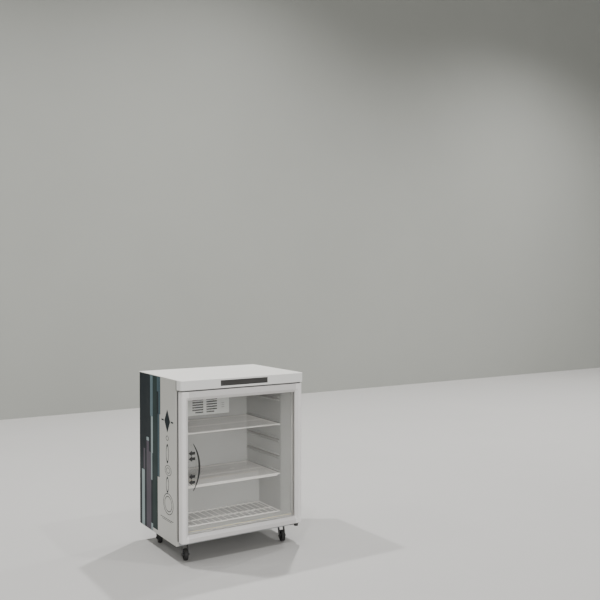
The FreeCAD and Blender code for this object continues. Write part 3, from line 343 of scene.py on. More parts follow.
def dust_group():
    """Dust that settles on what faces up, thicker in patches."""
    group, given, out = shader_group(
        "settled_dust",
        [("Colour", "NodeSocketColor", MID_GREY), ("Dust", "NodeSocketColor", DUST_TINT),
         ("Amount", "NodeSocketFloat", 0.2)],
        [("Colour", "NodeSocketColor")])
    place = add_node(group, "ShaderNodeTexCoord")
    noise = add_node(group, "ShaderNodeTexNoise", Scale=18.0, Detail=6.0, Roughness=0.65)
    facing = add_node(group, "ShaderNodeNewGeometry")
    apart = add_node(group, "ShaderNodeSeparateXYZ")
    upward = add_node(group, "ShaderNodeMapRange")
    upward.inputs["From Min"].default_value = 0.4
    both = add_node(group, "ShaderNodeMath", operation="MULTIPLY")
    amount = add_node(group, "ShaderNodeMath", operation="MULTIPLY")
    blend = add_node(group, "ShaderNodeMix", data_type="RGBA")
    link = group.links.new
    link(place.outputs["Object"], noise.inputs["Vector"])
    link(facing.outputs["Normal"], apart.inputs["Vector"])
    link(apart.outputs["Z"], upward.inputs["Value"])
    link(upward.outputs["Result"], both.inputs[0])
    link(noise.outputs["Fac"], both.inputs[1])
    link(both.outputs["Value"], amount.inputs[0])
    link(given.outputs["Amount"], amount.inputs[1])
    link(amount.outputs["Value"], blend.inputs["Factor"])
    link(given.outputs["Colour"], blend.inputs["A"])
    link(given.outputs["Dust"], blend.inputs["B"])
    link(blend.outputs["Result"], out.inputs["Colour"])
    return group


DRIFT = drift_group()
RELIEF = texture_group()
GRAIN = grain_group()
DUST = dust_group()

# ---------------------------------------------------------------- materials


def linear(text):
    """A linear colour from the usual six hex digits."""
    parts = [int(text[start:start + 2], 16) / 255 for start in (0, 2, 4)]
    return tuple(part / 12.92 if part < 0.04045 else ((part + 0.055) / 1.055) ** 2.4
                 for part in parts) + (1.0,)


def material_with(name):
    """A new material, its node tree and its main shader."""
    material = bpy.data.materials.new(name)
    material.use_nodes = True
    tree = material.node_tree
    return material, tree, tree.nodes["Principled BSDF"]


def use(tree, group, **values):
    """One use of a shared group, with its own values."""
    item = tree.nodes.new("ShaderNodeGroup")
    item.node_tree = group
    for key, value in values.items():
        item.inputs[key.replace("_", " ")].default_value = value
    return item


def moulded(name, colour, second, rough=(0.35, 0.45), scale=3.0, relief=(1500, 0.00002),
            dust=0.0, coat=0.0, metallic=0.0, ior=1.5):
    """Paint or plastic: slow tone drift, fine relief and, where wanted, settled dust."""
    material, tree, shader = material_with(name)
    tone = use(tree, DRIFT, Colour=linear(colour), Second=linear(second), Scale=scale,
               Rough_Low=rough[0], Rough_High=rough[1])
    fine = use(tree, RELIEF, Scale=relief[0], Height=relief[1])
    colour_out = tone.outputs["Colour"]
    if dust:
        settled = use(tree, DUST, Amount=dust)
        tree.links.new(colour_out, settled.inputs["Colour"])
        colour_out = settled.outputs["Colour"]
    tree.links.new(colour_out, shader.inputs["Base Color"])
    tree.links.new(tone.outputs["Roughness"], shader.inputs["Roughness"])
    tree.links.new(fine.outputs["Normal"], shader.inputs["Normal"])
    shader.inputs["Metallic"].default_value = metallic
    shader.inputs["Coat Weight"].default_value = coat
    shader.inputs["Coat Roughness"].default_value = 0.15
    shader.inputs["IOR"].default_value = ior
    return material


def sheet_metal(name, colour, second, rough=(0.3, 0.5), height=0.00001):
    """Bare metal with rolling grain."""
    material, tree, shader = material_with(name)
    grain = use(tree, GRAIN, Colour=linear(colour), Second=linear(second),
                Rough_Low=rough[0], Rough_High=rough[1], Height=height)
    tree.links.new(grain.outputs["Colour"], shader.inputs["Base Color"])
    tree.links.new(grain.outputs["Roughness"], shader.inputs["Roughness"])
    tree.links.new(grain.outputs["Normal"], shader.inputs["Normal"])
    shader.inputs["Metallic"].default_value = 1.0
    return material


def clear_glass(name, tint):
    """Window glass that lets lamps through, with a trace of uneven wiping."""
    material, tree, shader = material_with(name)
    wiped = use(tree, DRIFT, Colour=linear(tint), Second=linear(tint), Scale=9.0,
                Rough_Low=0.0, Rough_High=0.02)
    tree.links.new(wiped.outputs["Roughness"], shader.inputs["Roughness"])
    shader.inputs["Base Color"].default_value = linear(tint)
    shader.inputs["Transmission Weight"].default_value = 1.0
    shader.inputs["IOR"].default_value = 1.45
    path = add_node(tree, "ShaderNodeLightPath")
    open_way = add_node(tree, "ShaderNodeBsdfTransparent", Color=linear(tint))
    mix = add_node(tree, "ShaderNodeMixShader")
    tree.links.new(path.outputs["Is Shadow Ray"], mix.inputs["Fac"])
    tree.links.new(shader.outputs["BSDF"], mix.inputs[1])
    tree.links.new(open_way.outputs["BSDF"], mix.inputs[2])
    tree.links.new(mix.outputs["Shader"], tree.nodes["Material Output"].inputs["Surface"])
    return material


FINISH = {
    "side_paint": moulded("side_paint", "bcbbb5", "b5b4ae", (0.28, 0.36), 2.5,
                          (1800, 0.000012), 0.0, 0.15),
    "top_sheet": moulded("top_sheet", "fbf9f4", "f7f5ef", (0.30, 0.40), 2.0,
                         (2200, 0.000012), 0.12, 0.1),
    "fascia_plastic": moulded("fascia_plastic", "dfdedb", "d9d8d5", (0.36, 0.44), 3.0,
                              (2600, 0.00002)),
    "display_plastic": moulded("display_plastic", "3d3c3b", "383736", (0.10, 0.16), 8.0,
                               (900, 0.000003), 0, 0.4),
    "circuit_board": moulded("circuit_board", "1d5a35", "174a2c", (0.3, 0.5), 60.0,
                             (700, 0.00006)),
    "liner_plastic": moulded("liner_plastic", "949492", "8e8e8c", (0.28, 0.38), 3.0,
                             (900, 0.00003), 0.06),
    "foam": moulded("foam", "d8c68f", "c9b57a", (0.8, 0.95), 40.0, (300, 0.0008)),
    "zinc_sheet": sheet_metal("zinc_sheet", "a9acae", "97999b", (0.34, 0.50)),
    "door_frame_plastic": moulded("door_frame_plastic", "e3e0de", "dddad8", (0.34, 0.42), 3.0,
                                  (2600, 0.000015)),
    "pane_glass": clear_glass("pane_glass", "fffffe"),
    "spacer_aluminium": sheet_metal("spacer_aluminium", "c9c6c4", "bcb9b7", (0.5, 0.65)),
    "bead_plastic": moulded("bead_plastic", "cfcdca", "c6c4c1", (0.4, 0.5), 6.0),
    "gasket_rubber": moulded("gasket_rubber", "4c4c4b", "434342", (0.6, 0.75), 20.0,
                             (2500, 0.00003)),
    "bush_nylon": moulded("bush_nylon", "d9d7cd", "cfcdc2", (0.35, 0.5), 30.0),
    "shelf_coating": moulded("shelf_coating", "d8d4d1", "d1cdca", (0.28, 0.42), 12.0,
                             (1500, 0.00002), 0.1),
    "fan_cover_plastic": moulded("fan_cover_plastic", "cfd0ce", "c9cac8", (0.38, 0.48), 5.0,
                                 (2200, 0.00002)),
    "fan_plastic": moulded("fan_plastic", "1c1c1c", "242424", (0.4, 0.55), 20.0,
                           (1800, 0.00003), 0.3),
    "evaporator_aluminium": sheet_metal("evaporator_aluminium", "c9cbcd", "b9bbbd", (0.3, 0.45)),
    "lamp_plastic": moulded("lamp_plastic", "dcdcd8", "d2d2cd", (0.35, 0.5), 8.0),
    "compressor_paint": moulded("compressor_paint", "161616", "1e1e1e", (0.22, 0.4), 14.0,
                                (700, 0.00006), 0.35, 0.5),
    "coil_paint": moulded("coil_paint", "1b1b1b", "252422", (0.45, 0.65), 20.0,
                          (900, 0.00005), 0.35),
    "grommet_rubber": moulded("grommet_rubber", "1d1c1b", "262524", (0.7, 0.85), 40.0,
                              (2500, 0.00004), 0.3),
    "black_plastic": moulded("black_plastic", "1b1b1b", "232322", (0.4, 0.55), 25.0,
                             (2000, 0.00004), 0.15),
    "copper": sheet_metal("copper", "c07a55", "9c5a3c", (0.25, 0.5)),
    "drain_plastic": moulded("drain_plastic", "d8d8d2", "cfcfc8", (0.4, 0.5), 20.0),
    "hinge_paint": moulded("hinge_paint", "232322", "2c2b2a", (0.35, 0.5), 30.0,
                           (1400, 0.00004), 0.15),
    "pin_steel": sheet_metal("pin_steel", "b5b6b7", "a2a3a4", (0.2, 0.35)),
    "screw_steel": sheet_metal("screw_steel", "bdbebf", "a9aaab", (0.2, 0.35)),
    "bolt_steel": moulded("bolt_steel", "262625", "343332", (0.35, 0.55), 60.0,
                          (1500, 0.00003), 0.1, 0, 0.6),
    "castor_paint": moulded("castor_paint", "1d1d1c", "282726", (0.35, 0.5), 30.0,
                            (1500, 0.00003), 0.15),
    "axle_steel": moulded("axle_steel", "2c2b2a", "3a3938", (0.3, 0.5), 60.0,
                          (1500, 0.00003), 0.1, 0, 0.7),
    "wheel_rubber": moulded("wheel_rubber", "191918", "232221", (0.55, 0.75), 40.0,
                            (1500, 0.00006), 0.18),
}


def lamp_glass():
    """Frosted tube: milky, a little darker where the phosphor is thin."""
    material, tree, shader = material_with("lamp_glass")
    milk = use(tree, DRIFT, Colour=linear("e8ebee"), Second=linear("dfe3e8"), Scale=10.0,
               Rough_Low=0.15, Rough_High=0.25)
    tree.links.new(milk.outputs["Colour"], shader.inputs["Base Color"])
    tree.links.new(milk.outputs["Roughness"], shader.inputs["Roughness"])
    shader.inputs["Coat Weight"].default_value = 0.6
    shader.inputs["Coat Roughness"].default_value = 0.05
    return material


FINISH["lamp_glass"] = lamp_glass()

FILM_COLOURS = {
    "dark": ("192227", "151e23"), "green": ("233432", "20302e"), "teal": ("44585f", "3f5259"),
    "slate": ("5f7278", "586a70"), "plum": ("565059", "4f4a53"), "pale": ("93a1a2", "8b999b"),
}
VINYL = {label: moulded("vinyl_" + label, *pair, (0.45, 0.55), 6.0, (1200, 0.00001), ior=1.22)
         for label, pair in FILM_COLOURS.items()}
# Grey for the backs of the shelf slots: painted shade in the grooves.
SLOT_SHADE_GREY = moulded("slot_painted_shade", "7e7c79", "767471", (0.45, 0.55), 12.0)
# The door's own plastic made darker for the top and bottom rails: painted shade.
RAIL_SHADED_PLASTIC = moulded("door_rail_painted_shade", "cdcac8", "c8c5c3", (0.34, 0.42), 3.0,
                       (2600, 0.000015))
DECAL_BLACK = moulded("decal_black", "121212", "181818", (0.4, 0.5), 12.0, (1200, 0.00001))

# ---------------------------------------------------------------- CAD nodes that keep their shape

for node, piece in frame["nodes"].items():
    # the top and bottom rails take the darker copy of the door plastic, painted shade
    rail = node in ("top_rail", "bottom_rail")
    piece.data.materials.clear()
    piece.data.materials.append(RAIL_SHADED_PLASTIC if rail else FINISH[SLOT_OF[node]])

# ---------------------------------------------------------------- sheet metal and mouldings

EASED = {
    "left_side_panel": 0.0006, "right_side_panel": 0.0006, "base_pan": 0.0004,
    "rear_panel": 0.0003, "compartment_cover": 0.0003, "fan_cover": 0.0006,
    "upper_hinge_bracket": 0.0005, "lower_hinge_bracket": 0.0008, "lamp_holder": 0.001,
    "power_inlet": 0.0005, "glazing_beads": 0.0012, "castor_plates": 0.0004,
}
for node, width in EASED.items():
    eased(node, width, FINISH[SLOT_OF[node]])
for corner in CORNERS:
    eased("castor_fork_" + corner, 0.0004, FINISH["castor_paint"])
    eased("castor_wheel_" + corner, 0.0006, FINISH["wheel_rubber"], angle=40)
    eased("castor_axle_" + corner, 0.0004, FINISH["axle_steel"])

# ---------------------------------------------------------------- moulded liner

CAVITY_HALF = 0.2395
THROAT_HALF = 0.266
CAVITY_FLOOR = 0.130
CAVITY_CEILING = 0.700
THROAT_FRONT = 0.0465
THROAT_BACK = 0.101
CAVITY_BACK = 0.418
STEP_FRONT = 0.299
STEP_TOP = 0.280
LINER_WALL = 0.0012
LEDGE_TOPS = (0.302, 0.3775, 0.453, 0.5285, 0.642)
LEDGE_HEIGHT = 0.009
LEDGE_REACH = 0.008
LEDGE_ENDS = (0.110, 0.410)             # depths at which the ledges begin and end
LEDGE_ROOT = CAVITY_HALF + 0.001        # the ledges are sunk this far into the wall
KEEPER_GAP = 0.010
KEEPER_HEIGHT = 0.004
SLOT_SHADE_ENDS = (0.112, 0.408)
SLOT_SHADE_FACES = (CAVITY_HALF - 0.0004, CAVITY_HALF + 0.0002)
RIB_EDGE = 0.0012                       # rounding of the ledges and keepers
LIP_SHIFT = 0.0002                      # keeps the liner's lip just off its seat


def liner_shell():
    """The cavity as one open skin, without its mouth and without the part behind the step."""
    skin = block("liner_moulding", (-CAVITY_HALF, behind(THROAT_BACK), CAVITY_FLOOR),
                 (CAVITY_HALF, behind(CAVITY_BACK), CAVITY_CEILING))
    pick(skin, lambda item: True)
    bpy.ops.mesh.bisect(plane_co=(0, behind(STEP_FRONT), 0), plane_no=(0, 1, 0))
    bpy.ops.mesh.select_all(action="SELECT")
    bpy.ops.mesh.bisect(plane_co=(0, 0, STEP_TOP), plane_no=(0, 0, 1))
    done()

    def mouth_or_step(face):
        behind_step = face.center.z < STEP_TOP and face.center.y > behind(STEP_FRONT)
        return behind_step or face.center.y < behind(THROAT_BACK) + 1e-4

    pick(skin, mouth_or_step)
    bpy.ops.mesh.delete(type="FACE")
    done()
    return skin


def step_faces(skin):
    """Riser and tread of the step, drawn out of the floor's open back edge."""
    mesh = skin.data

    def back_of_floor(edge):
        points = [mesh.vertices[index].co for index in edge.vertices]
        return all(abs(point.y - behind(STEP_FRONT)) < 1e-4 and abs(point.z - CAVITY_FLOOR) < 1e-4
                   for point in points)

    pick(skin, back_of_floor, "EDGE")
    bpy.ops.mesh.extrude_edges_move(
        TRANSFORM_OT_translate={"value": (0, 0, STEP_TOP - CAVITY_FLOOR)})
    bpy.ops.mesh.extrude_edges_move(
        TRANSFORM_OT_translate={"value": (0, CAVITY_BACK - STEP_FRONT, 0)})
    done()
    cleaned(skin, 2e-5)


def throat_and_flange(skin):
    """The throat flares out of the cavity's mouth and ends in a flange round it."""
    mesh = skin.data

    def pick_edges_at(depth):
        pick(skin, lambda edge: all(abs(mesh.vertices[index].co.y - behind(depth)) < 1e-4
                                    for index in edge.vertices), "EDGE")

    lip = THROAT_FRONT + LIP_SHIFT
    pick_edges_at(THROAT_BACK)
    bpy.ops.mesh.extrude_edges_move(TRANSFORM_OT_translate={"value": (0, lip - THROAT_BACK, 0)})
    bpy.ops.transform.resize(value=(THROAT_HALF / CAVITY_HALF, 1, 1), center_override=(0, 0, 0))
    done()
    pick_edges_at(lip)
    bpy.ops.mesh.extrude_edges_move(TRANSFORM_OT_translate={"value": (0, 0, 0)})
    done()
    low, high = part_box("inner_liner")
    middle = (low.z + high.z) / 2
    for vertex in mesh.vertices:
        if vertex.select:
            vertex.co.x = math.copysign(high.x, vertex.co.x)
            vertex.co.z = high.z if vertex.co.z > middle else low.z
    cleaned(skin, 2e-5)


def shelf_ribs(number, top):
    """One shelf's ledge, sloping underneath, and the keeper over it, on both walls."""
    near, far = (behind(end) for end in LEDGE_ENDS)
    ledge = block(f"ledge_{number}", (CAVITY_HALF - LEDGE_REACH, near, top - LEDGE_HEIGHT),
                  (LEDGE_ROOT, far, top))
    pick(ledge, lambda item: item.normal.z < -0.5)
    bpy.ops.transform.resize(value=(0.2, 1, 1), center_override=(LEDGE_ROOT, 0, 0))
    done()
    keeper_foot = top + KEEPER_GAP
    keeper = block(f"keeper_{number}", (CAVITY_HALF - LEDGE_REACH, near, keeper_foot),
                   (LEDGE_ROOT, far, keeper_foot + KEEPER_HEIGHT))
    ribs = []
    for rib in (ledge, keeper):
        rounded(rib, RIB_EDGE, 2)
        ribs += [rib, other_side(rib, rib.name + "_left")]
    return ribs


def liner_moulding():
    """Liner with its throat, flange, ledges and soft corners."""
    skin = liner_shell()
    step_faces(skin)
    throat_and_flange(skin)
    floor_faces = [face for face in skin.data.polygons if face.center.z < CAVITY_FLOOR + 0.001]
    if sum(face.normal.z for face in floor_faces) < 0:
        pick(skin, lambda item: True)
        bpy.ops.mesh.flip_normals()
        done()
    rounded(skin, 0.007, 4, 20)
    apply(skin, "SOLIDIFY", thickness=LINER_WALL, offset=-1)
    ribs = []
    for number, top in enumerate(LEDGE_TOPS):
        ribs += shelf_ribs(number, top)
    whole = smoothed(joined("liner_moulding", [skin] + ribs))
    return fitted(whole, "cabinet", "liner_plastic", FINISH["liner_plastic"], "inner_liner")


def shelf_slot_shade_strips():
    """Grey strips at the back of the slots that the shelves slide in: painted shade that darkens
    the slots.
    """
    strips = []
    for number, top in enumerate(LEDGE_TOPS):
        strip = block(f"track_{number}", (SLOT_SHADE_FACES[0], behind(SLOT_SHADE_ENDS[0]), top + 0.0002),
                      (SLOT_SHADE_FACES[1], behind(SLOT_SHADE_ENDS[1]), top + KEEPER_GAP - 0.0002))
        rounded(strip, 0.0002, 2)
        strips += [strip, other_side(strip, f"track_{number}_left")]
    return fitted(joined("shelf_slot_shade_strips", strips), "cabinet", "liner_plastic", SLOT_SHADE_GREY)


liner_moulding()
shelf_slot_shade_strips()

# ---------------------------------------------------------------- door seal

def frame_ring(name, low, high, width):
    """A rectangular ring in the door's plane, its bars as wide as given."""
    ring = block(name, low, high)
    pick(ring, lambda item: abs(item.normal.y) > 0.5)
    bpy.ops.mesh.inset(thickness=width, use_even_offset=True)
    bpy.ops.mesh.delete(type="FACE")
    done()
    mesh = ring.data

    def inner_edge(edge):
        points = [mesh.vertices[index].co for index in edge.vertices]
        flat = abs(points[0].y - points[1].y) < 1e-5
        return flat and all(abs(point.x) < high[0] - width + 1e-4 and
                            low[2] + width - 1e-4 < point.z < high[2] - width + 1e-4
                            for point in points)

    pick(ring, inner_edge, "EDGE")
    bpy.ops.mesh.bridge_edge_loops()
    done()
    return cleaned(ring)


SEAL_WIDTH = 0.012
SEAL_FOLDS = 6
DEEP_FOLD = 0.0014
SHALLOW_FOLD = 0.0003
LIP_REACH = 0.0155                      # how far the lip stands out past the bellows
LIP_OVERHANG = 0.002


def door_seal():
    """Magnetic seal: bellows round the back of the door, and a lip on its three free sides."""
    low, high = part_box("door_gasket")
    seal = frame_ring("door_seal", low, high, SEAL_WIDTH)
    mesh = seal.data

    def runs_back(edge):
        first, second = (mesh.vertices[index].co for index in edge.vertices)
        return abs(first.y - second.y) > 0.004

    pick(seal, runs_back, "EDGE")
    bpy.ops.mesh.subdivide(number_cuts=SEAL_FOLDS - 1)
    done()
    middle = (low + high) / 2
    for vertex in seal.data.vertices:
        share = (vertex.co.y - low.y) / (high.y - low.y)
        if 0.05 < share < 0.95:
            pinch = DEEP_FOLD if round(share * SEAL_FOLDS) % 2 else SHALLOW_FOLD
            for axis in (0, 2):
                off = vertex.co[axis] - middle[axis]
                reach = high[axis] - middle[axis]
                if abs(off) > reach - SEAL_WIDTH / 2:
                    vertex.co[axis] -= math.copysign(pinch, off)
                elif abs(off) > reach - SEAL_WIDTH - 0.0005:
                    vertex.co[axis] += math.copysign(pinch, off)
    smoothed(seal, 60)
    front, back = low.y + 0.0008, high.y - 0.0003
    foot, head, near = low.z - LIP_REACH, high.z + LIP_REACH, low.x - LIP_OVERHANG
    lips = [block("seal_lip_side", (low.x - LIP_REACH, front, foot), (low.x, back, head)),
            block("seal_lip_top", (near, front, high.z), (high.x, back, head)),
            block("seal_lip_foot", (near, front, foot), (high.x, back, low.z))]
    for lip in lips:
        rounded(lip, 0.0008, 2)
    whole = joined("door_seal", [seal] + lips)
    return fitted(whole, "door", "gasket_rubber", FINISH["gasket_rubber"], "door_gasket")


SEAM_ENDS = (0.0405, 0.0468)            # depths of the joint behind the fascia's ends
SEAM_PROUD = 0.00015
STRIP_LEFT = -0.292
STRIP_BACK = 0.045
STRIP_DROP = 0.0026                     # how far the strip hangs under the fascia


def fascia_seams():
    """Dark joint between the fascia and each side panel."""
    low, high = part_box("front_fascia")
    seam = block("fascia_seam", (-SIDE - SEAM_PROUD, behind(SEAM_ENDS[0]), low.z),
                 (-SIDE + 0.001, behind(SEAM_ENDS[1]), high.z - 0.001))
    rounded(seam, 0.00005, 2)
    both = joined("fascia_seams", [seam, other_side(seam, "fascia_seam_right")])
    return fitted(both, "cabinet", "gasket_rubber", FINISH["gasket_rubber"])


def fascia_shade_strip():
    """Dark rubber strip under the fascia that narrows the gap over the door; its dark colour is
    painted shade in the gap.
    """
    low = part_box("front_fascia")[0]
    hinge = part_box("upper_hinge_bracket")[0]
    strip = block("fascia_shade_strip", (STRIP_LEFT, low.y + 0.002, low.z - STRIP_DROP),
                  (hinge.x - 0.002, behind(STRIP_BACK), low.z + 0.0001))
    rounded(strip, 0.0007, 3)
    return fitted(strip, "cabinet", "gasket_rubber", FINISH["gasket_rubber"])


door_seal()
fascia_seams()
fascia_shade_strip()

# ---------------------------------------------------------------- black duct round the fan, painted shade behind the cover's slots

SHADE_DUCT_SIDES = (-0.0705, 0.0635)
SHADE_DUCT_ENDS = (0.3885, 0.4165)
SHADE_DUCT_HEIGHTS = (0.5595, 0.6875)


def fan_shade_duct():
    """Black duct from the fan to the cover's slots: a dark sheet that paints the shade inside the
    cover.
    """
    near, far = zip(SHADE_DUCT_SIDES, map(behind, SHADE_DUCT_ENDS), SHADE_DUCT_HEIGHTS)
    shade_duct = block("fan_shade_duct", near, far)
    pick(shade_duct, lambda item: item.normal.y < -0.5)
    bpy.ops.mesh.delete(type="FACE")
    done()
    rounded(shade_duct, 0.003, 3)
    apply(shade_duct, "SOLIDIFY", thickness=0.0012, offset=-1)
    return fitted(smoothed(shade_duct), "cabinet", "fan_plastic", FINISH["fan_plastic"])


fan_shade_duct()

# ---------------------------------------------------------------- printed film on the sides

FILM = 0.00012                          # thickness of one layer
WRAP_BACK = 0.452                       # depth at which the film ends at the back
FILM_TOP = BODY_TOP - 0.002
FILM_FOOT = 0.0785


def film_strip(name, near, far, low, high, layer=1):
    """A strip of film on the left side, from depth near to far and height low to high."""
    return block(name, (-SIDE - FILM * layer, behind(near), low),
                 (-SIDE + FILM, behind(far), high))


def side_film(colour, strips, layer):
    """All the strips of one colour, on the left side and mirrored on the right."""
    parts = [film_strip(f"{colour}_{number}", *strip, layer=layer)
             for number, strip in enumerate(strips)]
    left = joined(f"side_film_{colour}_left", parts)
    right = other_side(left, f"side_film_{colour}_right")
    for piece in (left, right):
        fitted(piece, "cabinet", "side_paint", VINYL[colour])


side_film("dark", [
    (0.211, WRAP_BACK, 0.607, BODY_TOP - 0.001),
    (0.220, WRAP_BACK, 0.332, 0.607),
    (0.243, WRAP_BACK, 0.094, 0.332),
    (0.300, WRAP_BACK, 0.0775, 0.094)], 1)
side_film("green", [
    (0.250, 0.296, 0.0960, FILM_TOP)], 2)
side_film("teal", [
    (0.212, 0.232, 0.608, FILM_TOP),
    (0.221, 0.242, 0.334, 0.606),
    (0.2335, 0.249, 0.704, FILM_TOP)], 3)
side_film("slate", [
    (0.297, 0.326, 0.586, FILM_TOP)], 3)
side_film("plum", [
    (0.343, 0.370, FILM_FOOT, 0.470),
    (0.317, 0.3425, FILM_FOOT, 0.424),
    (0.388, 0.405, 0.334, 0.430)], 3)
side_film("pale", [
    (0.297, 0.3175, 0.424, 0.5855),
    (0.3035, 0.317, 0.303, 0.4235),
    (0.343, 0.370, 0.4705, 0.486),
    (0.393, 0.425, FILM_FOOT, 0.332),
    (0.297, 0.3165, FILM_FOOT, 0.110)], 4)

# ---------------------------------------------------------------- ornament on the sides

ORNAMENT_MIDDLE = 0.137
LINE = 0.0036                           # width of the drawn lines


def ring_outline(name, across, height, radius, stretch):
    """A flat ring on the left side, stretched upwards to an oval."""
    centre = (-SIDE - FILM / 2, behind(across), height)
    ring = disc(name, centre, radius, FILM, (0, math.radians(90), 0), 64)
    pick(ring, lambda item: abs(item.normal.x) > 0.5)
    bpy.ops.mesh.inset(thickness=LINE, use_even_offset=True)
    bpy.ops.mesh.delete(type="FACE")
    done()
    mesh = ring.data
    limit = radius - LINE / 2

    def inner_rim(edge):
        points = [mesh.vertices[index].co for index in edge.vertices]
        flat = abs(points[0].x - points[1].x) < 1e-6
        return flat and all(math.hypot(point.y - centre[1], point.z - height) < limit
                            for point in points)

    pick(ring, inner_rim, "EDGE")
    bpy.ops.mesh.bridge_edge_loops()
    done()
    for vertex in ring.data.vertices:
        vertex.co.z = height + (vertex.co.z - height) * stretch
    return cleaned(ring, 1e-6)


def lozenge(name, across, height, half_wide, half_high):
    """A solid diamond on the left side."""
    shape = disc(name, (-SIDE - FILM / 2, behind(across), height), 1.0, FILM,
                 (0, math.radians(90), 0), 4)
    for vertex in shape.data.vertices:
        vertex.co.y = behind(across) + (vertex.co.y - behind(across)) * half_wide
        vertex.co.z = height + (vertex.co.z - height) * half_high
    return shape


def side_ornament():
    """Plain column of a diamond, bars and rings beside the film."""
    middle = ORNAMENT_MIDDLE
    bar_heights = (0.5855, 0.5925)
    bar_start, bar_end = 0.037, 0.062
    parts = [
        lozenge("tall_diamond", middle, 0.589, 0.030, 0.050),
        film_strip("near_bar", middle - bar_end, middle - bar_start, *bar_heights),
        film_strip("far_bar", middle + bar_start, middle + bar_end, *bar_heights),
        ring_outline("small_ring", middle, 0.516, 0.0150, 0.72),
        ring_outline("long_loop", middle, 0.450, 0.0140, 3.0),
        ring_outline("middle_ring", middle - 0.008, 0.379, 0.0340, 0.66),
        ring_outline("inner_ring", middle - 0.008, 0.379, 0.0200, 0.62),
        ring_outline("low_loop", middle, 0.317, 0.0140, 2.5),
        ring_outline("great_ring", middle - 0.009, 0.236, 0.0530, 0.86),
        ring_outline("great_ring_inside", middle - 0.009, 0.236, 0.0390, 0.86),
        film_strip("rule", 0.075, 0.212, 0.1680, 0.1704),
        film_strip("short_rule", 0.095, 0.192, 0.1620, 0.1640),
    ]
    left = joined("side_ornament_left", parts)
    right = other_side(left, "side_ornament_right")
    for piece in (left, right):
        fitted(piece, "cabinet", "side_paint", VINYL["dark"])


side_ornament()

# ---------------------------------------------------------------- marks on the glass

GLASS_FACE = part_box("front_pane")[0].y
MARK = 0.00015                          # how far the marks stand off the glass
BOW_THICK = 0.0064
BOW_THIN = 0.0022
ARROW_HEIGHTS = (0.466, 0.443, 0.369, 0.345)


def bow_mark():
    """The bow: a fine grid bent along an arc and thinned towards its ends."""
    chord_x, top, bottom, bulge = -0.236, 0.506, 0.307, 0.0315
    half = (top - bottom) / 2
    radius = (half * half + bulge * bulge) / (2 * bulge)
    centre = Vector((chord_x + bulge - radius, GLASS_FACE, (top + bottom) / 2))
    sweep = math.asin(half / radius)
    steps = 48
    bpy.ops.object.select_all(action="DESELECT")
    bpy.ops.mesh.primitive_grid_add(x_subdivisions=1, y_subdivisions=steps, size=1,
                                    location=(0, 0, 0), rotation=(math.radians(90), 0, 0))
    bow = named("bow_mark")
    for vertex in bow.data.vertices:
        turn = vertex.co.z * 2 * sweep
        share = math.cos(vertex.co.z * math.pi * 0.92)
        reach = radius - (BOW_THICK * share + BOW_THIN if vertex.co.x < 0 else 0.0)
        vertex.co = centre + Vector((reach * math.cos(turn), -MARK, reach * math.sin(turn)))
    apply(bow, "SOLIDIFY", thickness=MARK * 0.8, offset=0)
    return fitted(cleaned(bow, 1e-7), "door", "display_plastic", DECAL_BLACK)


def arrow_marks():
    """Four short arrows on the glass that point to the opening side."""
    neck, tip, tail, half_shaft, half_head = -0.2425, -0.2575, -0.2280, 0.0060, 0.0120
    shoulder = 0.0002
    arrows = []
    for number, height in enumerate(ARROW_HEIGHTS):
        arrow = block(f"arrow_{number}", (neck, GLASS_FACE - MARK, height - half_shaft),
                      (tail, GLASS_FACE - MARK * 0.2, height + half_shaft))
        pick(arrow, lambda item: item.normal.x < -0.5)
        bpy.ops.mesh.extrude_region_move(TRANSFORM_OT_translate={"value": (-shoulder, 0, 0)})
        bpy.ops.transform.resize(value=(1, 1, half_head / half_shaft),
                                 center_override=(0, 0, height))
        bpy.ops.mesh.extrude_region_move(
            TRANSFORM_OT_translate={"value": (tip - neck + shoulder, 0, 0)})
        bpy.ops.transform.resize(value=(1, 1, 0.04), center_override=(0, 0, height))
        done()
        arrows.append(arrow)
    return fitted(joined("arrow_marks", arrows), "door", "display_plastic", DECAL_BLACK)


bow_mark()
arrow_marks()

# ---------------------------------------------------------------- rear louvres

LOUVRE_SIDES = (-0.233, -0.135)
LOUVRE_FIRST = 0.026                    # the lowest slot, above the body's bottom
LOUVRE_COLUMNS, COLUMN_PITCH = 4, 0.120
LOUVRE_ROWS, ROW_PITCH = 9, 0.015
HOOD_PROUD = 0.0018


def louvre_hoods():
    """Pressed hoods over the slots of the compartment cover."""
    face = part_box("compartment_cover")[1].y
    low = BODY_BOTTOM + LOUVRE_FIRST
    hood = block("louvre_hood", (LOUVRE_SIDES[0], face - 0.0005, low + 0.002),
                 (LOUVRE_SIDES[1], face + HOOD_PROUD, low + 0.0085))
    pick(hood, lambda item: item.normal.y > 0.5)
    bpy.ops.transform.resize(value=(0.985, 1, 0.45),
                             center_override=(sum(LOUVRE_SIDES) / 2, 0, low + 0.0022))
    done()
    rounded(hood, 0.0006, 2)
    pick(hood, lambda item: item.normal.z < -0.9 or item.normal.y < -0.9)
    bpy.ops.mesh.delete(type="FACE")
    done()
    apply(hood, "SOLIDIFY", thickness=0.0004, offset=-1)
    shifts = [(column * COLUMN_PITCH, 0, line * ROW_PITCH)
              for column in range(LOUVRE_COLUMNS) for line in range(LOUVRE_ROWS)]
    whole = copies(hood, "louvre_hoods", shifts)
    return fitted(smoothed(whole), "cabinet", "zinc_sheet", FINISH["zinc_sheet"])


louvre_hoods()

# ---------------------------------------------------------------- stage, light and camera

CAMERA_PLACE = (-1.656, -3.253, 1.169)
CAMERA_YAW = 32.66
CAMERA_PITCH = -1.09
WALL_DISTANCE = 3.95
STAGE_SIZE = 40
CEILING = 5.4
LAMP_CONE = 138
CEILING_LAMPS = (                       # across, deep, power
    (1.83, 1.55, 760), (-1.80, 1.60, 690), (-4.80, 1.70, 300),
    (1.80, -2.60, 300), (-1.80, -2.60, 220), (6.20, 1.20, 1150))


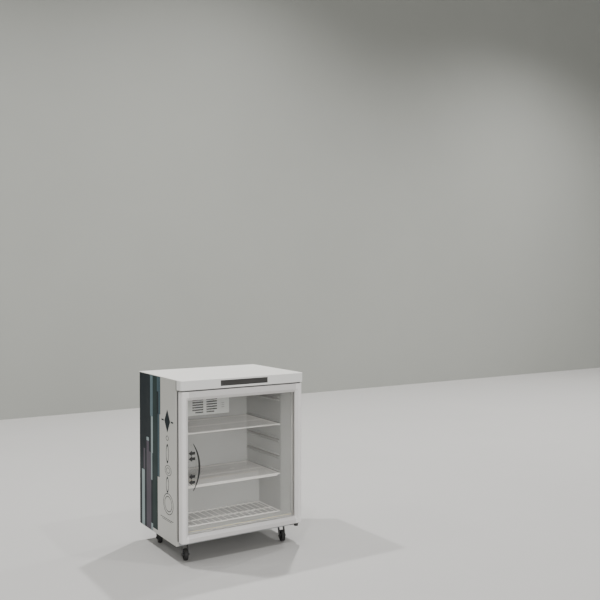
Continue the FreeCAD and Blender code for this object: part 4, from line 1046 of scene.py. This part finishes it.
def stage_plane(name, place, tilt, colour, second, rough):
    """One wide plane of the room, painted."""
    bpy.ops.object.select_all(action="DESELECT")
    bpy.ops.mesh.primitive_plane_add(size=STAGE_SIZE, location=place,
                                     rotation=(math.radians(tilt), 0, 0))
    plane = named(name)
    plane.data.materials.append(
        moulded(name + "_paint", colour, second, rough, 0.7, (300, 0.00004)))


def stage():
    """Pale floor that meets a plain wall behind."""
    stage_plane("floor", (0, 0, 0), 0, "c0bebb", "bdbbb8", (0.7, 0.8))
    stage_plane("wall", (0, WALL_DISTANCE, 0), 90, "a6a7a1", "a3a49e", (0.8, 0.9))


def area_light(name, place, aim, size, power):
    """A square soft light that faces a point."""
    data = bpy.data.lights.new(name, "AREA")
    data.shape = "SQUARE"
    data.size = size
    data.energy = power
    lamp = bpy.data.objects.new(name, data)
    lamp.location = place
    lamp.rotation_euler = (Vector(aim) - Vector(place)).to_track_quat("-Z", "Y").to_euler()
    bpy.context.collection.objects.link(lamp)


def ceiling_lamp(name, place, power):
    """A small lamp that shines straight down in a wide soft cone."""
    data = bpy.data.lights.new(name, "SPOT")
    data.energy = power
    data.shadow_soft_size = 0.09
    data.spot_size = math.radians(LAMP_CONE)
    data.spot_blend = 1.0
    lamp = bpy.data.objects.new(name, data)
    lamp.location = place
    bpy.context.collection.objects.link(lamp)


def lights():
    """Rows of small ceiling lamps, a wide soft fill in front and a pale room."""
    world = bpy.data.worlds.new("studio")
    bpy.context.scene.world = world
    world.use_nodes = True
    background = world.node_tree.nodes["Background"]
    background.inputs["Color"].default_value = (0.80, 0.81, 0.80, 1)
    background.inputs["Strength"].default_value = 0.54
    for number, (across, deep, power) in enumerate(CEILING_LAMPS):
        ceiling_lamp(f"ceiling_lamp_{number}", (across, deep, CEILING), power)
    area_light("front_fill", (-1.0, -4.6, 1.3), (0, 0, 0.4), 2.4, 92)


def camera():
    """The view from the front left, a little above the cabinet's top."""
    data = bpy.data.cameras.new("main_view")
    data.lens = 48.0
    data.sensor_width = 36.0
    data.clip_end = 100
    view = bpy.data.objects.new("main_view", data)
    view.location = CAMERA_PLACE
    view.rotation_euler = (math.radians(90 + CAMERA_PITCH), 0, -math.radians(CAMERA_YAW))
    bpy.context.collection.objects.link(view)
    bpy.context.scene.camera = view


stage()
lights()
camera()
